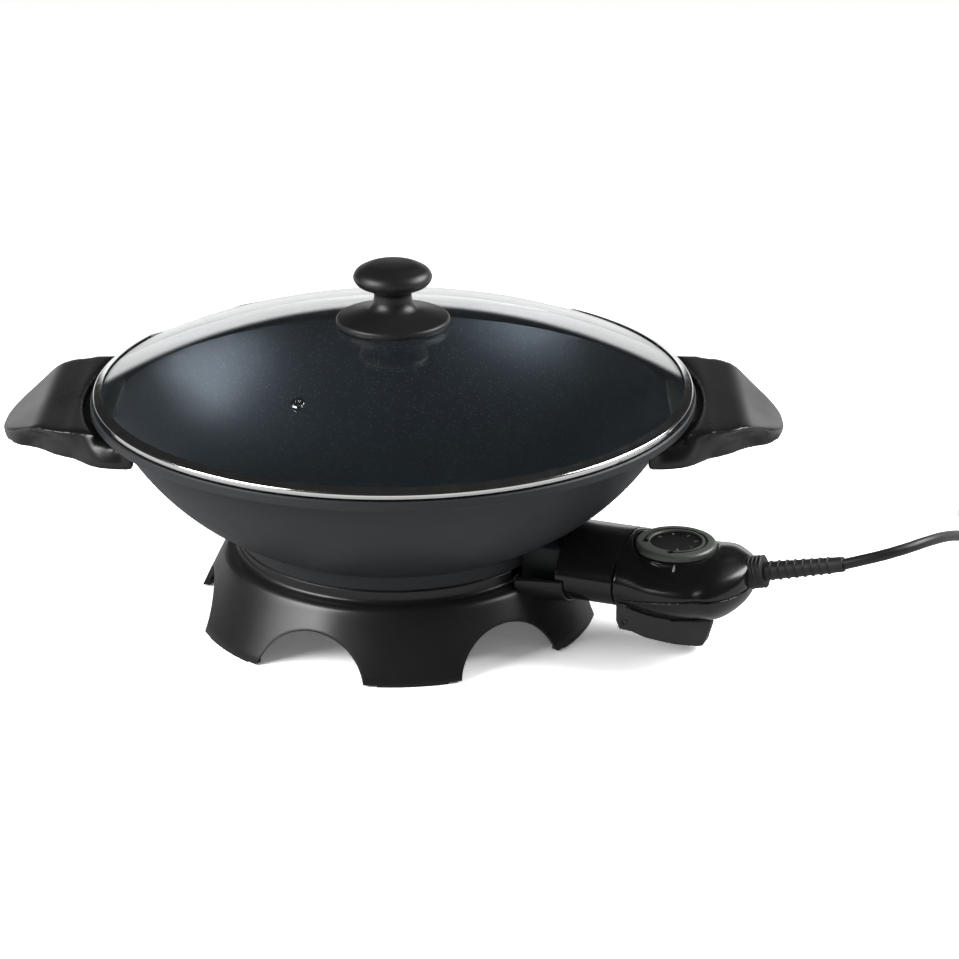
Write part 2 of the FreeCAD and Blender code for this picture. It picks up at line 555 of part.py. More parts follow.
def make_stand():
    skirt = new_body("Skirt")
    revolve(skirt, sketch(skirt, "SkirtOutline", "XZ_Plane", stand_profile()))
    arch_radius = "(ArchHalfWidth ^ 2 + ArchHeight ^ 2) / (2 * ArchHeight)"
    arch = sketch(skirt, "Arch", "XZ_Plane", [
        ("-ArchHalfWidth", "-1"),
        ("ArchHalfWidth", "-1"),
        ("ArchHalfWidth", "0.001"),
        ("-ArchHalfWidth", "0.001", arch_radius),
    ])
    pocket = skirt.newObject("PartDesign::Pocket", "ArchCut")
    pocket.Profile = arch
    pocket.Reversed = True
    bind(pocket, Length="StandFootRadius + 10")
    pattern = skirt.newObject("PartDesign::PolarPattern", "Arches")
    pattern.Originals = [pocket]
    pattern.Axis = (arch, ["V_Axis"])
    pattern.Angle = 360
    bind(pattern, Occurrences="ArchCount")
    skirt.Tip = pattern
    skirt.Placement = FreeCAD.Placement(Vector(), FreeCAD.Rotation(Vector(0, 0, 1), size("ArchAngle")))
    skirt.setExpression("Placement.Rotation.Angle", named("ArchAngle"))

    bore_width, bore_height = "SocketHalfWidth + SpoutGap", "SocketHalfHeight + SpoutGap"
    spout_out = loft("SpoutOut", [
        oval("SpoutRoot", "SpoutStart", f"{bore_width} + 8", f"{bore_height} + 4", "ControlHeight"),
        oval("SpoutMiddle", "(SpoutStart + SpoutEnd) / 2", f"{bore_width} + 4.2", f"{bore_height} + 2.8", "ControlHeight"),
        oval("SpoutMouth", "SpoutEnd", f"{bore_width} + 1.8", f"{bore_height} + 1.8", "ControlHeight")])
    spout_low = common("SpoutLow", spout_out, primitive(
        "Box", "SpoutHalf", ("SpoutStart", "-60", "0"), Length="60", Width="120", Height="StandTop - 2"))
    spout = turn_about_z(spout_low, "ControlAngle")
    bore = oval_bar("SpoutBore", "SpoutStart - 6", "SpoutEnd + 1", bore_width, bore_height)
    boss_room = primitive("Box", "BossRoom", ("ShelfInner - 6", "-BossHalfWidth - 1", "BossBottom - 1"),
                          Length="SpoutEnd - ShelfInner + 7", Width="2 * BossHalfWidth + 2", Height="20")
    room = turn_about_z(fuse("SpoutRoom", bore, boss_room), "ControlAngle")
    holes = [primitive("Cylinder", f"ShelfHole{number}", stand_screw_place(number) + ("StandShoulder - ShelfThickness - 1",),
                       Radius="StandScrewRadius + 0.3", Height="ShelfThickness + 2") for number in range(3)]
    node("stand", cut("Stand", fuse("SkirtAndSpout", skirt, spout), room, *holes))

    shield_top = "StandShoulder - ShelfThickness"
    shield = turned_piece("Shield", [
        ("0", f"{shield_top} - ShieldThickness - 4"),
        ("ShelfInner - 14", f"{shield_top} - ShieldThickness - 4"),
        ("ShelfInner - 8", f"{shield_top} - ShieldThickness"),
        ("ShieldRadius", f"{shield_top} - ShieldThickness"),
        ("ShieldRadius", shield_top),
        ("ShelfInner - 8.5", shield_top),
        ("ShelfInner - 14.5", f"{shield_top} - 4"),
        ("0", f"{shield_top} - 4"),
    ])
    shield_holes = [primitive("Cylinder", f"ShieldHole{number}", stand_screw_place(number) + (f"{shield_top} - 3",),
                              Radius="StandScrewRadius + 0.3", Height="5") for number in range(3)]
    node("heat_shield", cut("HeatShield", shield, *shield_holes))

    screws = [fuse(f"StandScrew{number}",
                   primitive("Cylinder", f"StandShank{number}", stand_screw_place(number) + (f"{shield_top} - ShieldThickness",),
                             Radius="StandScrewRadius", Height="ShelfThickness + ShieldThickness + 9"),
                   primitive("Cylinder", f"StandHead{number}", stand_screw_place(number) + (f"{shield_top} - ShieldThickness - 2.4",),
                             Radius="StandScrewRadius * 2", Height="2.4"))
              for number in range(3)]
    node("stand_screws", group("StandScrews", *screws))

    slope = "((StandFootRadius - StandShoulderRadius) / (StandShoulder - StandShoulderDrop))"
    pad_out = f"StandFootRadius - {slope} * PadThickness - 0.6"
    pads = []
    for number in range(int(size("ArchCount"))):
        start = f"-90 + ArchAngle + (360 / ArchCount) * ({number} + 0.5) - PadAngle / 2"
        turn = FreeCAD.Rotation(Vector(0, 0, 1), size(start))
        outer = primitive("Cylinder", f"PadOuter{number}", rotation=turn,
                          Radius=pad_out, Height="PadThickness", Angle="PadAngle")
        inner = primitive("Cylinder", f"PadInner{number}", rotation=turn,
                          Radius=f"{pad_out} - FootLedge + 1.5", Height="PadThickness", Angle="PadAngle")
        pads.append(cut(f"Pad{number}", outer, inner))
    node("foot_pads", group("FootPads", *pads))


# --- socket --------------------------------------------------------------------------------------

def make_socket():
    outside = oval_bar("SocketOutside", "SocketStart", "SocketEnd", "SocketHalfWidth", "SocketHalfHeight")
    inside = oval_bar("SocketInside", "SocketStart + SocketWall", "SocketEnd + 1",
                      "SocketHalfWidth - SocketWall", "SocketHalfHeight - SocketWall")
    pin_holes = [primitive("Cylinder", f"PinHole{side}", ("SocketStart - 1", y, "ControlHeight"), ALONG_X,
                           Radius="PinRadius + PressGap", Height="SocketWall + 2")
                 for side, y in (("Left", "TerminalPitch / 2"), ("Right", "-TerminalPitch / 2"))]
    probe_hole = primitive("Cylinder", "SocketProbeHole", ("SocketStart - 1", "0", "ControlHeight"), ALONG_X,
                           Radius="ProbeRadius + ProbeGap", Height="SocketWall + 2")
    screw_holes = [primitive("Cylinder", f"SocketScrewHole{side}", ("SocketStart - 1", y, "ControlHeight"), ALONG_X,
                             Radius="SocketScrewRadius + PressGap", Height="SocketWall + 2")
                   for side, y in (("Left", "SocketScrewPitch / 2"), ("Right", "-SocketScrewPitch / 2"))]
    bowl = turned_piece("BowlClearance", [
        ("60", "StandTop + RingHeight + 4"),
        ("RingRadius + 0.6 + 0.4 * SocketBowlGap", "StandTop + RingHeight - 0.9 * SocketBowlGap"),
        ("ShoulderRadius + 0.9 * SocketBowlGap", "LipTop - ShoulderDrop - 0.4 * SocketBowlGap",
         "BowlOuterArc + SocketBowlGap"),
        ("60", "LipTop - ShoulderDrop"),
    ])
    node("socket_sleeve", cut("SocketSleeve", outside, inside, *pin_holes, probe_hole, *screw_holes, bowl), "control")
    screws = [fuse(f"SocketScrew{side}",
                   primitive("Cylinder", f"SocketShank{side}", ("SocketStart - 12", y, "ControlHeight"), ALONG_X,
                             Radius="SocketScrewRadius", Height="SocketWall + 12"),
                   primitive("Cylinder", f"SocketHead{side}", ("SocketStart + SocketWall", y, "ControlHeight"), ALONG_X,
                             Radius="SocketScrewRadius * 1.8", Height="2"))
              for side, y in (("Left", "SocketScrewPitch / 2"), ("Right", "-SocketScrewPitch / 2"))]
    node("socket_screws", group("SocketScrews", *screws), "control")
    earth = primitive("Box", "EarthBlade", ("SocketStart + SocketWall", "-3", "ControlHeight - 12"),
                      Length="14", Width="6", Height="0.8")
    node("earth_blade", earth, "control")


# --- control -------------------------------------------------------------------------------------

# Sections of the control's body: place along the control, half width, half height, height of centre.
SHELL_SECTIONS = (
    ("SocketEnd + SeamGap", "SocketHalfWidth", "SocketHalfHeight", "ControlHeight"),
    ("SocketEnd + 8", "SocketHalfWidth + 0.2", "SocketHalfHeight - 0.1", "ControlHeight - 0.2"),
    ("DialPlace - 8.5", "SocketHalfWidth + 1.5", "SocketHalfHeight - 0.5", "ControlHeight - 1.5"),
    ("DialPlace + 7.5", "SocketHalfWidth + 2.5", "SocketHalfHeight - 0.8", "ControlHeight - 2"),
    ("DialPlace + 23.5", "SocketHalfWidth + 0.5", "SocketHalfHeight - 1.6", "ControlHeight - 1.1"),
    ("TailPlace - 10", "CollarRadius + 19.5", "CollarRadius + 6.6", "TailHeight - 5.4"),
    ("TailPlace - 2", "CollarRadius + 10", "CollarRadius + 2.4", "TailHeight - 2.2"),
    ("TailPlace + 2", "CollarRadius + 0.6", "CollarRadius - 1", "TailHeight + 0.4"),
)
# Screw posts of the control's shells: place along the control and distance to each side.
POSTS = (("DialPlace - 4", "29"), ("DialPlace + 25", "23"))


def shell_loft(name, less, end_wall="0"):
    """The control's body, thinner all round by one value and shorter at the lead's end by another."""
    sections = [oval(f"{name}{index}", at, f"{wide} - {less}", f"{high} - {less}", height)
                for index, (at, wide, high, height) in enumerate(SHELL_SECTIONS)]
    if end_wall != "0":
        sections[-1].setExpression("Placement.Base.x", named(f"{SHELL_SECTIONS[-1][0]} - {end_wall}"))
    return loft(name, sections)


def post_places():
    return [(at, sign + side) for at, side in POSTS for sign in ("", "-")]


def parting_at(place_x):
    """Height of the shells' parting plane at a place along the control."""
    return f"(PartingHeight + ({place_x} - SocketEnd) * tan(PartingTilt))"


def make_control():
    outer = shell_loft("ControlOutside", "0")
    inner = shell_loft("ControlInside", "ShellWall", "ShellWall")
    posts = [primitive("Cylinder", f"Post{index}", at + ("10",), Radius="PostRadius", Height="60")
             for index, at in enumerate(post_places())]
    clamp_rib = primitive("Box", "ClampRib", ("DialPlace + 31", "-14", "20"),
                          Length="4", Width="28", Height="ControlHeight - 23")
    fittings = common("FittingsInside", fuse("Fittings", *posts, clamp_rib), outer)
    ears = [primitive("Box", f"Ear{side}", ("PivotPlace - 3.2", y, "PivotHeight - 3.2"),
                      Length="6.4", Width="5", Height="11")
            for side, y in (("Left", "14"), ("Right", "-19"))]
    spring_seat = primitive("Cylinder", "SpringSeat", ("SpringPlace", "0", "SpringHigh"), Radius="4.5", Height="5.5")
    platform = primitive("Cylinder", "DialPlatform", ("DialPlace", "0", "DialSeat - 9"),
                         Radius="DialRadius + 1", Height="9")
    dial_floor = primitive("Cylinder", "DialFloor", ("DialPlace", "0", "DialSeat - ShellWall"),
                           Radius="DialRadius + 1", Height="ShellWall")
    whole = fuse("ControlWhole", cut("ControlWall", fuse("ControlRaised", outer, platform), inner),
                 fittings, *ears, spring_seat, dial_floor)
    dial_room = primitive("Cylinder", "DialRoom", ("DialPlace", "0", "DialSeat"),
                          Radius="DialRadius + DialGap + 0.5", Height="20")
    shaft_hole = primitive("Cylinder", "ShaftHole", ("DialPlace", "0", "ControlHeight"),
                           Radius="ShaftRadius + DialGap", Height="20")
    pin_hole = primitive("Cylinder", "EarHole", ("PivotPlace", "-25", "PivotHeight"), ALONG_Y,
                         Radius="PivotPin", Height="50")
    tail = FreeCAD.Rotation(Vector(0, 1, 0), 90 - size("TailTilt"))
    boot_hole = primitive("Cylinder", "BootHole", ("TailPlace - 8", "0", "TailHeight - 8 * tan(TailTilt)"), tail,
                          Radius="BootRadius", Height="30")
    shanks = [primitive("Cylinder", f"ShellScrewHole{index}", at + (f"{parting_at(at[0])} - 12",),
                        Radius="ShellScrewRadius + PressGap", Height="19")
              for index, at in enumerate(post_places())]
    shell = cut("ControlShell", whole, dial_room, shaft_hole, pin_hole, boot_hole, *shanks)
    tilt = FreeCAD.Rotation(Vector(0, -1, 0), size("PartingTilt"))
    above = primitive("Box", "AboveParting", ("SocketEnd - 20", "-60", parting_at("SocketEnd - 20")), tilt,
                      Length="130", Width="120", Height="60")
    above.setExpression("Placement.Rotation.Angle", named("PartingTilt"))
    head_rooms = [primitive("Cylinder", f"ShellHeadRoom{index}", at + (f"{parting_at(at[0])} - 40",),
                            Radius="ShellScrewRadius * 2 + 0.2", Height="33")
                  for index, at in enumerate(post_places())]
    node("control_top", common("ControlTop", shell, above), "control")
    node("control_bottom", cut("ControlBottom", shell, above, *head_rooms), "control")
    screws = [fuse(f"ShellScrew{index}",
                   primitive("Cylinder", f"ShellShank{index}", at + (f"{parting_at(at[0])} - 7",),
                             Radius="ShellScrewRadius", Height="13"),
                   primitive("Cylinder", f"ShellHead{index}", at + (f"{parting_at(at[0])} - 9",),
                             Radius="ShellScrewRadius * 2", Height="2"))
              for index, at in enumerate(post_places())]
    node("control_screws", group("ControlScrews", *screws), "control")


def make_connector():
    nose_width, nose_height = "SocketHalfWidth - SocketWall - NoseGap", "SocketHalfHeight - SocketWall - NoseGap"
    front = oval_bar("NoseFront", "NoseStart", "SocketEnd + 1", nose_width, nose_height)
    collar = oval_bar("NoseCollar", "SocketEnd + SeamGap", "SocketEnd + 2.6",
                      "SocketHalfWidth - ShellWall - NoseGap", "SocketHalfHeight - ShellWall - NoseGap")
    rear = primitive("Box", "NoseRear", ("SocketEnd", "-20", "ControlHeight - 10"),
                     Length="NoseEnd - SocketEnd", Width="40", Height="20")
    contact_out = "PinRadius + ContactGap + ContactWall"
    contact_bores = [primitive("Cylinder", f"ContactBore{side}", ("NoseStart - 1", y, "ControlHeight"), ALONG_X,
                               Radius=f"{contact_out} + PressGap", Height="NoseEnd - NoseStart + 2")
                     for side, y in (("Left", "TerminalPitch / 2"), ("Right", "-TerminalPitch / 2"))]
    probe_bore = primitive("Cylinder", "NoseProbeBore", ("NoseStart - 1", "0", "ControlHeight"), ALONG_X,
                           Radius="ProbeRadius + PressGap", Height="NoseEnd - NoseStart + 2")
    earth_slot = primitive("Box", "EarthSlot", ("NoseStart - 1", "-4", "ControlHeight - 13"),
                           Length="15", Width="8", Height="3")
    node("connector_nose", cut("ConnectorNose", fuse("NoseSolid", front, collar, rear),
                               *contact_bores, probe_bore, earth_slot), "control")
    contacts = [cut(f"Contact{side}",
                    primitive("Cylinder", f"ContactOut{side}", ("NoseStart + 1", y, "ControlHeight"), ALONG_X,
                              Radius=contact_out, Height="26"),
                    primitive("Cylinder", f"ContactIn{side}", ("NoseStart", y, "ControlHeight"), ALONG_X,
                              Radius="PinRadius + ContactGap", Height="24"))
                for side, y in (("Left", "TerminalPitch / 2"), ("Right", "-TerminalPitch / 2"))]
    node("contact_tubes", group("ContactTubes", *contacts), "control")
    probe = primitive("Cylinder", "Probe", ("ProbeTip", "0", "ControlHeight"), ALONG_X,
                      Radius="ProbeRadius", Height="NoseEnd - ProbeTip")
    node("probe_rod", probe, "control")


def make_thermostat():
    tab = primitive("Box", "FrameTab", ("NoseEnd", "-9", "ControlHeight - 8"), Length="1.5", Width="18", Height="14")
    deck = primitive("Box", "FrameDeck", ("NoseEnd", "-9", "ControlHeight - 3.5"), Length="46", Width="18", Height="1.5")
    rear = primitive("Box", "FrameFoot", ("NoseEnd + 44.5", "-9", "ControlHeight - 8"), Length="1.5", Width="18", Height="6")
    node("thermostat_frame", fuse("ThermostatFrame", tab, deck, rear), "control")
    stack = primitive("Cylinder", "BladeStack", ("NoseEnd + 6.5", "0", "ControlHeight - 2"), Radius="3.6", Height="8")
    blade_low = primitive("Box", "BimetalBlade", ("NoseEnd + 3", "-3", "ControlHeight"), Length="13", Width="6", Height="0.6")
    blade_high = primitive("Box", "ContactBlade", ("NoseEnd + 3", "-2.5", "ControlHeight + 3"), Length="13", Width="5", Height="0.5")
    node("blade_stack", cut("BladeStackCut", stack, blade_low, blade_high), "control")
    node("bimetal_blade", blade_low, "control")
    node("contact_blade", blade_high, "control")
    wires = [primitive("Cylinder", f"Wire{side}", ("NoseStart + 27", y, "ControlHeight"), ALONG_X,
                       Radius="1.2", Height="DialPlace + 30 - NoseStart - 27")
             for side, y in (("Left", "TerminalPitch / 2"), ("Right", "-TerminalPitch / 2"))]
    node("lead_wires", group("LeadWires", *wires), "control")
    clamp = primitive("Box", "ClampBlock", ("DialPlace + 30", "-17", "ControlHeight - 3"), Length="6", Width="34", Height="9")
    node("cord_clamp", clamp, "control")


def make_dial():
    centre = ("DialPlace", "0", "0")
    ring = turned_piece("DialRing", [
        ("DialRadius - DialRim - 2", "DialSeat + DialGap"),
        ("DialRadius - 0.3", "DialSeat + DialGap"),
        ("DialRadius", "DialSeat + DialGap + 0.3"),
        ("DialRadius - 0.3", "DialTop - 1.2"),
        ("DialRadius - 1.3", "DialTop", "1.5"),
        ("DialRadius - DialRim + 0.4", "DialTop"),
        ("DialRadius - DialRim", "DialTop - 0.4"),
        ("DialRadius - DialRim", "DialSeat + DialGap + 1.2"),
        ("DialRadius - DialRim - 2", "DialSeat + DialGap + 1.2"),
    ])
    place(ring, centre)
    node("dial_ring", ring, "control")
    face = turned_piece("DialFace", [
        ("0", "DialSeat + DialGap + 1.2"),
        ("DialRadius - DialRim", "DialSeat + DialGap + 1.2"),
        ("DialRadius - DialRim", "DialTop - DialFaceDrop - 0.3"),
        ("DialRadius - DialRim - 0.3", "DialTop - DialFaceDrop"),
        ("0", "DialTop - DialFaceDrop"),
    ])
    place(face, centre)
    hub = primitive("Cylinder", "DialHub", ("DialPlace", "0", "DialSeat + DialGap"), Radius="ShaftRadius + 2", Height="1.2")
    socket = primitive("Cylinder", "DialHubHole", ("DialPlace", "0", "DialSeat"), Radius="ShaftRadius", Height="3")
    node("dial_face", cut("DialFaceCut", fuse("DialFaceHub", face, hub), socket), "control")
    shaft = primitive("Cylinder", "Shaft", ("DialPlace", "0", "ControlHeight - 1.7"), Radius="ShaftRadius",
                      Height="DialSeat + 3 - ControlHeight + 1.7")
    cam = primitive("Cylinder", "ShaftCam", ("DialPlace", "0", "ControlHeight + 5"), Radius="ShaftRadius + 3", Height="3")
    node("dial_shaft", fuse("DialShaft", shaft, cam), "control")


# --- release lever -------------------------------------------------------------------------------

def lever_plan(name, inset):
    """The lever's wedge in plan, as a tall prism; the inset is square to its slanting sides."""
    slope = "((LeverMouth - LeverNose) / (LeverEnd - SocketEnd))"
    start_half = f"LeverMouth - {slope} * (LeverStart - SocketEnd) - {inset} * sqrt(1 + {slope} ^ 2)"
    end_half = f"LeverNose + {slope} * {inset} - {inset} * sqrt(1 + {slope} ^ 2)"
    return extruded_piece(name, "XY_Plane", [
        ("LeverStart", f"-({start_half})"),
        (f"LeverEnd - {inset}", f"-({end_half})"),
        (f"LeverEnd - {inset}", end_half),
        ("LeverStart", start_half),
    ], "50")


def make_lever():
    """A hollow keel under the control: two cheeks, a floor and a nose, on a pin near the sleeve."""
    side = extruded_piece("LeverSide", "XZ_Plane", [
        ("LeverStart", "25.5"),
        ("LeverStart + 2", "19.6"),
        ("PivotPlace + 4", "17.2"),
        ("DialPlace - 11.5", "13"),
        ("DialPlace + 5", "7", "160"),
        ("LeverEnd - 5", "4.6", "90"),
        ("LeverEnd - 3.6", "5.8"),
        ("LeverEnd + 0.6", "19.8"),
        ("LeverEnd", "20.8"),
        ("DialPlace + 16", "21.8"),
        ("DialPlace + 3", "22.2"),
        ("DialPlace - 8", "31"),
        ("LeverStart + 8", "40"),
        ("LeverStart", "40"),
    ], "90", midplane=True)
    floor = extruded_piece("LeverFloor", "XZ_Plane", [
        ("PivotPlace + 5", "1"),
        ("PivotPlace + 5", "16.9 + LeverWall"),
        ("DialPlace - 9.5", "13 + LeverWall"),
        ("DialPlace + 5", "7.6 + LeverWall"),
        ("LeverEnd + 1", "5.4 + LeverWall"),
        ("LeverEnd + 1", "1"),
    ], "90", midplane=True)
    spring_cup = primitive("Cylinder", "SpringCup", ("SpringPlace", "0", "1"), Radius="4.2", Height="SpringLow - 1")
    inside = cut("LeverInside", lever_plan("LeverHollow", "LeverWall"), floor, spring_cup)
    wedge = common("LeverWedge", lever_plan("LeverPlan", "0"), side)
    clearances = []
    for step in range(3):
        swept = shell_loft(f"LeverClearance{step}", "(-LeverGap)")
        angle = step / 2 * size("LeverTravel")
        turn = FreeCAD.Rotation(Vector(0, 1, 0), angle)
        pivot = Vector(size("PivotPlace"), 0, size("PivotHeight"))
        swept.Placement = FreeCAD.Placement(pivot, turn, Vector(0, 0, 0)) * FreeCAD.Placement(-pivot, FreeCAD.Rotation())
        clearances.append(swept)
    hole = primitive("Cylinder", "LeverPinHole", ("PivotPlace", "-40", "PivotHeight"), ALONG_Y,
                     Radius="PivotPin + PivotGap", Height="80")
    lever = cut("LeverHollowed", wedge, inside)
    lever = cut("LeverBored", lever, hole)
    for step, swept in enumerate(clearances):
        lever = cut(f"LeverTrimmed{step}", lever, swept)
    node("release_lever", lever, "control")
    pin = primitive("Cylinder", "LeverPin", ("PivotPlace", "-PivotLength / 2", "PivotHeight"), ALONG_Y,
                    Radius="PivotPin", Height="PivotLength")
    node("lever_pin", pin, "control")
    node("lever_spring", spring(), "control")


def spring():
    """The lever's return spring, an open coil between the lever's cup and the control's seat."""
    low, high = size("SpringLow"), size("SpringHigh")
    radius, wire = size("SpringRadius"), size("SpringWire")
    rise = high - low - 2 * wire - 0.1
    helix = Part.makeHelix(rise / 4, rise, radius)
    helix.translate(Vector(size("SpringPlace"), 0, low + wire + 0.05))
    edge = helix.Edges[0]
    start = edge.valueAt(edge.FirstParameter)
    profile = Part.Wire([Part.Circle(start, edge.tangentAt(edge.FirstParameter), wire).toShape()])
    obj = doc.addObject("Part::Feature", "LeverSpring")
    obj.Shape = Part.Wire(helix.Edges).makePipeShell([profile], True, True)
    return obj


# --- lead, coil and plug -------------------------------------------------------------------------

# Route of the lead from the boot's tip to the coil, corner by corner, in the wok's frame.
CORD_ROUTE = (
    (281.5, -105.6, 74.9),
    (299.5, -101.2, 78.4),
    (315.5, -87.5, 78.0),
    (329.0, -67.0, 72.2),
    (340.5, -42.0, 62.0),
    (350.0, -13.0, 49.0),
    (358.5, 18.0, 34.5),
    (366.8, 47.0, 20.5),
    (374.3, 73.0, 9.0),
    (380.4, 94.0, 3.4),
)


def tail_point(distance):
    """A point on the lead's axis behind the control, in the wok's frame."""
    tilt, turn = math.radians(size("TailTilt")), math.radians(size("ControlAngle"))
    along = size("TailPlace") + distance * math.cos(tilt)
    return Vector(along * math.cos(turn), -along * math.sin(turn), size("TailHeight") + distance * math.sin(tilt))


def make_boot():
    tail = FreeCAD.Rotation(Vector(0, 1, 0), 90 - size("TailTilt"))

    def on_tail(distance):
        return (f"TailPlace + ({distance}) * cos(TailTilt)", "0", f"TailHeight + ({distance}) * sin(TailTilt)")

    collar = primitive("Cylinder", "Collar", on_tail("-2"), tail, Radius="CollarRadius", Height="CollarLength + 2")
    ribs = [primitive("Torus", f"CollarRib{index}", on_tail(f"{2.2 + 2.6 * index}"), tail,
                      Radius1="CollarRadius + 0.1", Radius2="0.55") for index in range(4)]
    bore = primitive("Cylinder", "CollarBore", on_tail("-3"), tail, Radius="BootRadius + PressGap", Height="CollarLength + 5")
    clear = common("CollarInShell", primitive("Cylinder", "CollarInside", on_tail("-12"), tail, Radius="CollarRadius + 1",
                                              Height="20"), shell_loft("ControlSolid", "0"))
    node("cord_collar", cut("CordCollar", cut("CollarOutside", fuse("CollarRibbed", collar, *ribs), clear), bore), "control")
    boot = primitive("Cone", "Boot", on_tail("-2"), tail, Radius1="BootRadius", Radius2="BootTip", Height="BootLength + 2")
    sleeve = primitive("Cylinder", "BootRoot", on_tail("-9"), tail, Radius="BootRadius - 0.2", Height="8")
    rings = [primitive("Torus", f"BootRing{index}", on_tail(f"CollarLength + {3.5 + 5 * index}"), tail,
                       Radius1=f"BootRadius - {0.1 * index + 0.25} - 1.0", Radius2="0.75") for index in range(8)]
    node("cord_boot", fuse("CordBoot", boot, sleeve, *rings), "control")


def smooth_route(points):
    """Straight runs joined by tangent arcs, each as large as its two runs allow."""
    edges, radii, start = [], [], points[0]
    for before, corner, after in zip(points, points[1:], points[2:]):
        into, out = (corner - before).normalize(), (after - corner).normalize()
        half_turn = into.getAngle(out) / 2
        setback = 0.45 * min((corner - before).Length, (after - corner).Length)
        radii.append(setback / math.tan(half_turn))
        first, last = corner - into * setback, corner + out * setback
        middle = corner + (out - into).normalize() * (radii[-1] / math.cos(half_turn) - radii[-1])
        edges += [Part.LineSegment(start, first).toShape(), Part.Arc(first, middle, last).toShape()]
        start = last
    edges.append(Part.LineSegment(start, points[-1]).toShape())
    return edges, radii


def make_lead():
    radius = size("CordRadius")
    coil = Vector(size("CoilX"), size("CoilY"), 0)
    turn, spur = size("CoilTurn"), size("SpurLength")
    layers = int(size("CoilLayers"))
    low, high = radius, radius * (2 * layers - 1)
    points = [tail_point(size("BootLength"))]
    points += [Vector(*corner) for corner in CORD_ROUTE]
    points.append(Vector(coil.x - turn, coil.y - spur, low))
    edges, radii = smooth_route(points)
    tube = swept_tube(edges, radius)
    length = sum(edge.Length for edge in edges)
    drawn = math.pi * radius ** 2 * length
    print(f"lead: {length:.1f} mm, radii {', '.join(f'{r:.0f}' for r in radii)} mm, volume {tube.Volume / drawn:.4f} of drawn")
    feature_node("cord", tube)

    inner, outer = turn - radius * (2 * layers - 1), turn + radius
    depth = 2 * radius * layers
    thick = size("TieThickness")
    width = size("TieWidth")
    corner = coil - Vector(width / 2, 0, 0)
    ring = rounded_ring(coil, inner, outer, depth, radius * 0.9).cut(Part.makeBox(width, 2 * outer, thick, corner))
    near, far = inner - 0.25, outer + 0.02
    room = Part.makeBox(width, far - near, depth + 0.02 - thick, corner + Vector(0, near, thick))
    band = Part.makeBox(width, far - near + 2 * thick, depth + 0.02 + thick, corner + Vector(0, near - thick, 0)).cut(room)
    along = Vector(0, 1, 0)
    entry = Part.makeCylinder(radius, spur, Vector(coil.x - turn, coil.y - spur, low), along)
    leave = Part.makeCylinder(radius, spur, Vector(coil.x + turn, coil.y - spur, high), along)
    feature_node("cord_coil", ring.fuse([entry, leave]))
    feature_node("coil_tie", band)
    turns = layers ** 2 - 0.5
    wound = 2 * math.pi * (turn - radius * (layers - 1)) * turns
    tail = size("TailLength")
    mouth = Vector(coil.x + turn, coil.y - spur - tail, high)
    feature_node("cord_tail", Part.makeCylinder(radius, tail, mouth, along))
    make_plug(mouth)
    print(f"coil: {turns} turns, {wound:.0f} mm; whole lead {length + wound + 2 * spur + tail:.0f} mm")


def rounded_ring(centre, inner, outer, height, rounding):
    """A ring of square section with rounded edges, standing on the table."""
    ring = Part.makeCylinder(outer, height, centre).cut(Part.makeCylinder(inner, height, centre))
    rims = [edge for edge in ring.Edges if len(edge.Vertexes) == 1]
    return ring.makeFillet(rounding, rims)


def make_plug(mouth):
    """A moulded mains plug lying beside the coil, its lead entering along Y."""
    length, relief = size("PlugLength"), size("PlugRelief")
    wide, high = size("PlugHalfWidth"), mouth.z - 0.15
    cone = Part.makeCone(size("BootTip") + 1.2, size("BootTip"), relief, mouth - Vector(0, relief, 0), Vector(0, 1, 0))
    back = mouth.y - relief + 1
    block = Part.makeBox(2 * wide, length, 2 * high, Vector(mouth.x - wide, back - length, mouth.z - high))
    long_edges = [edge for edge in block.Edges if abs(edge.tangentAt(0).y) > 0.9]
    grip = block.makeFillet(high * 0.72, long_edges)
    ends = [edge for edge in grip.Edges if max(v.Y for v in edge.Vertexes) - min(v.Y for v in edge.Vertexes) < 1e-6]
    shell = grip.makeChamfer(1.6, ends)
    feature_node("plug_body", shell.fuse(cone).removeSplitter())
    face = back - length
    blade, pitch = size("BladeLength"), size("BladePitch")
    blades = [Part.makeBox(1.5, blade, 6.3, Vector(mouth.x + side * pitch / 2 - 0.75, face - blade, mouth.z - 1.15))
              for side in (-1, 1)]
    earth = Part.makeCylinder(2.4, blade + 3, Vector(mouth.x, face, mouth.z - 5.4), Vector(0, -1, 0))
    feature_node("plug_pins", Part.makeCompound(blades + [earth]))


# --- handles -------------------------------------------------------------------------------------

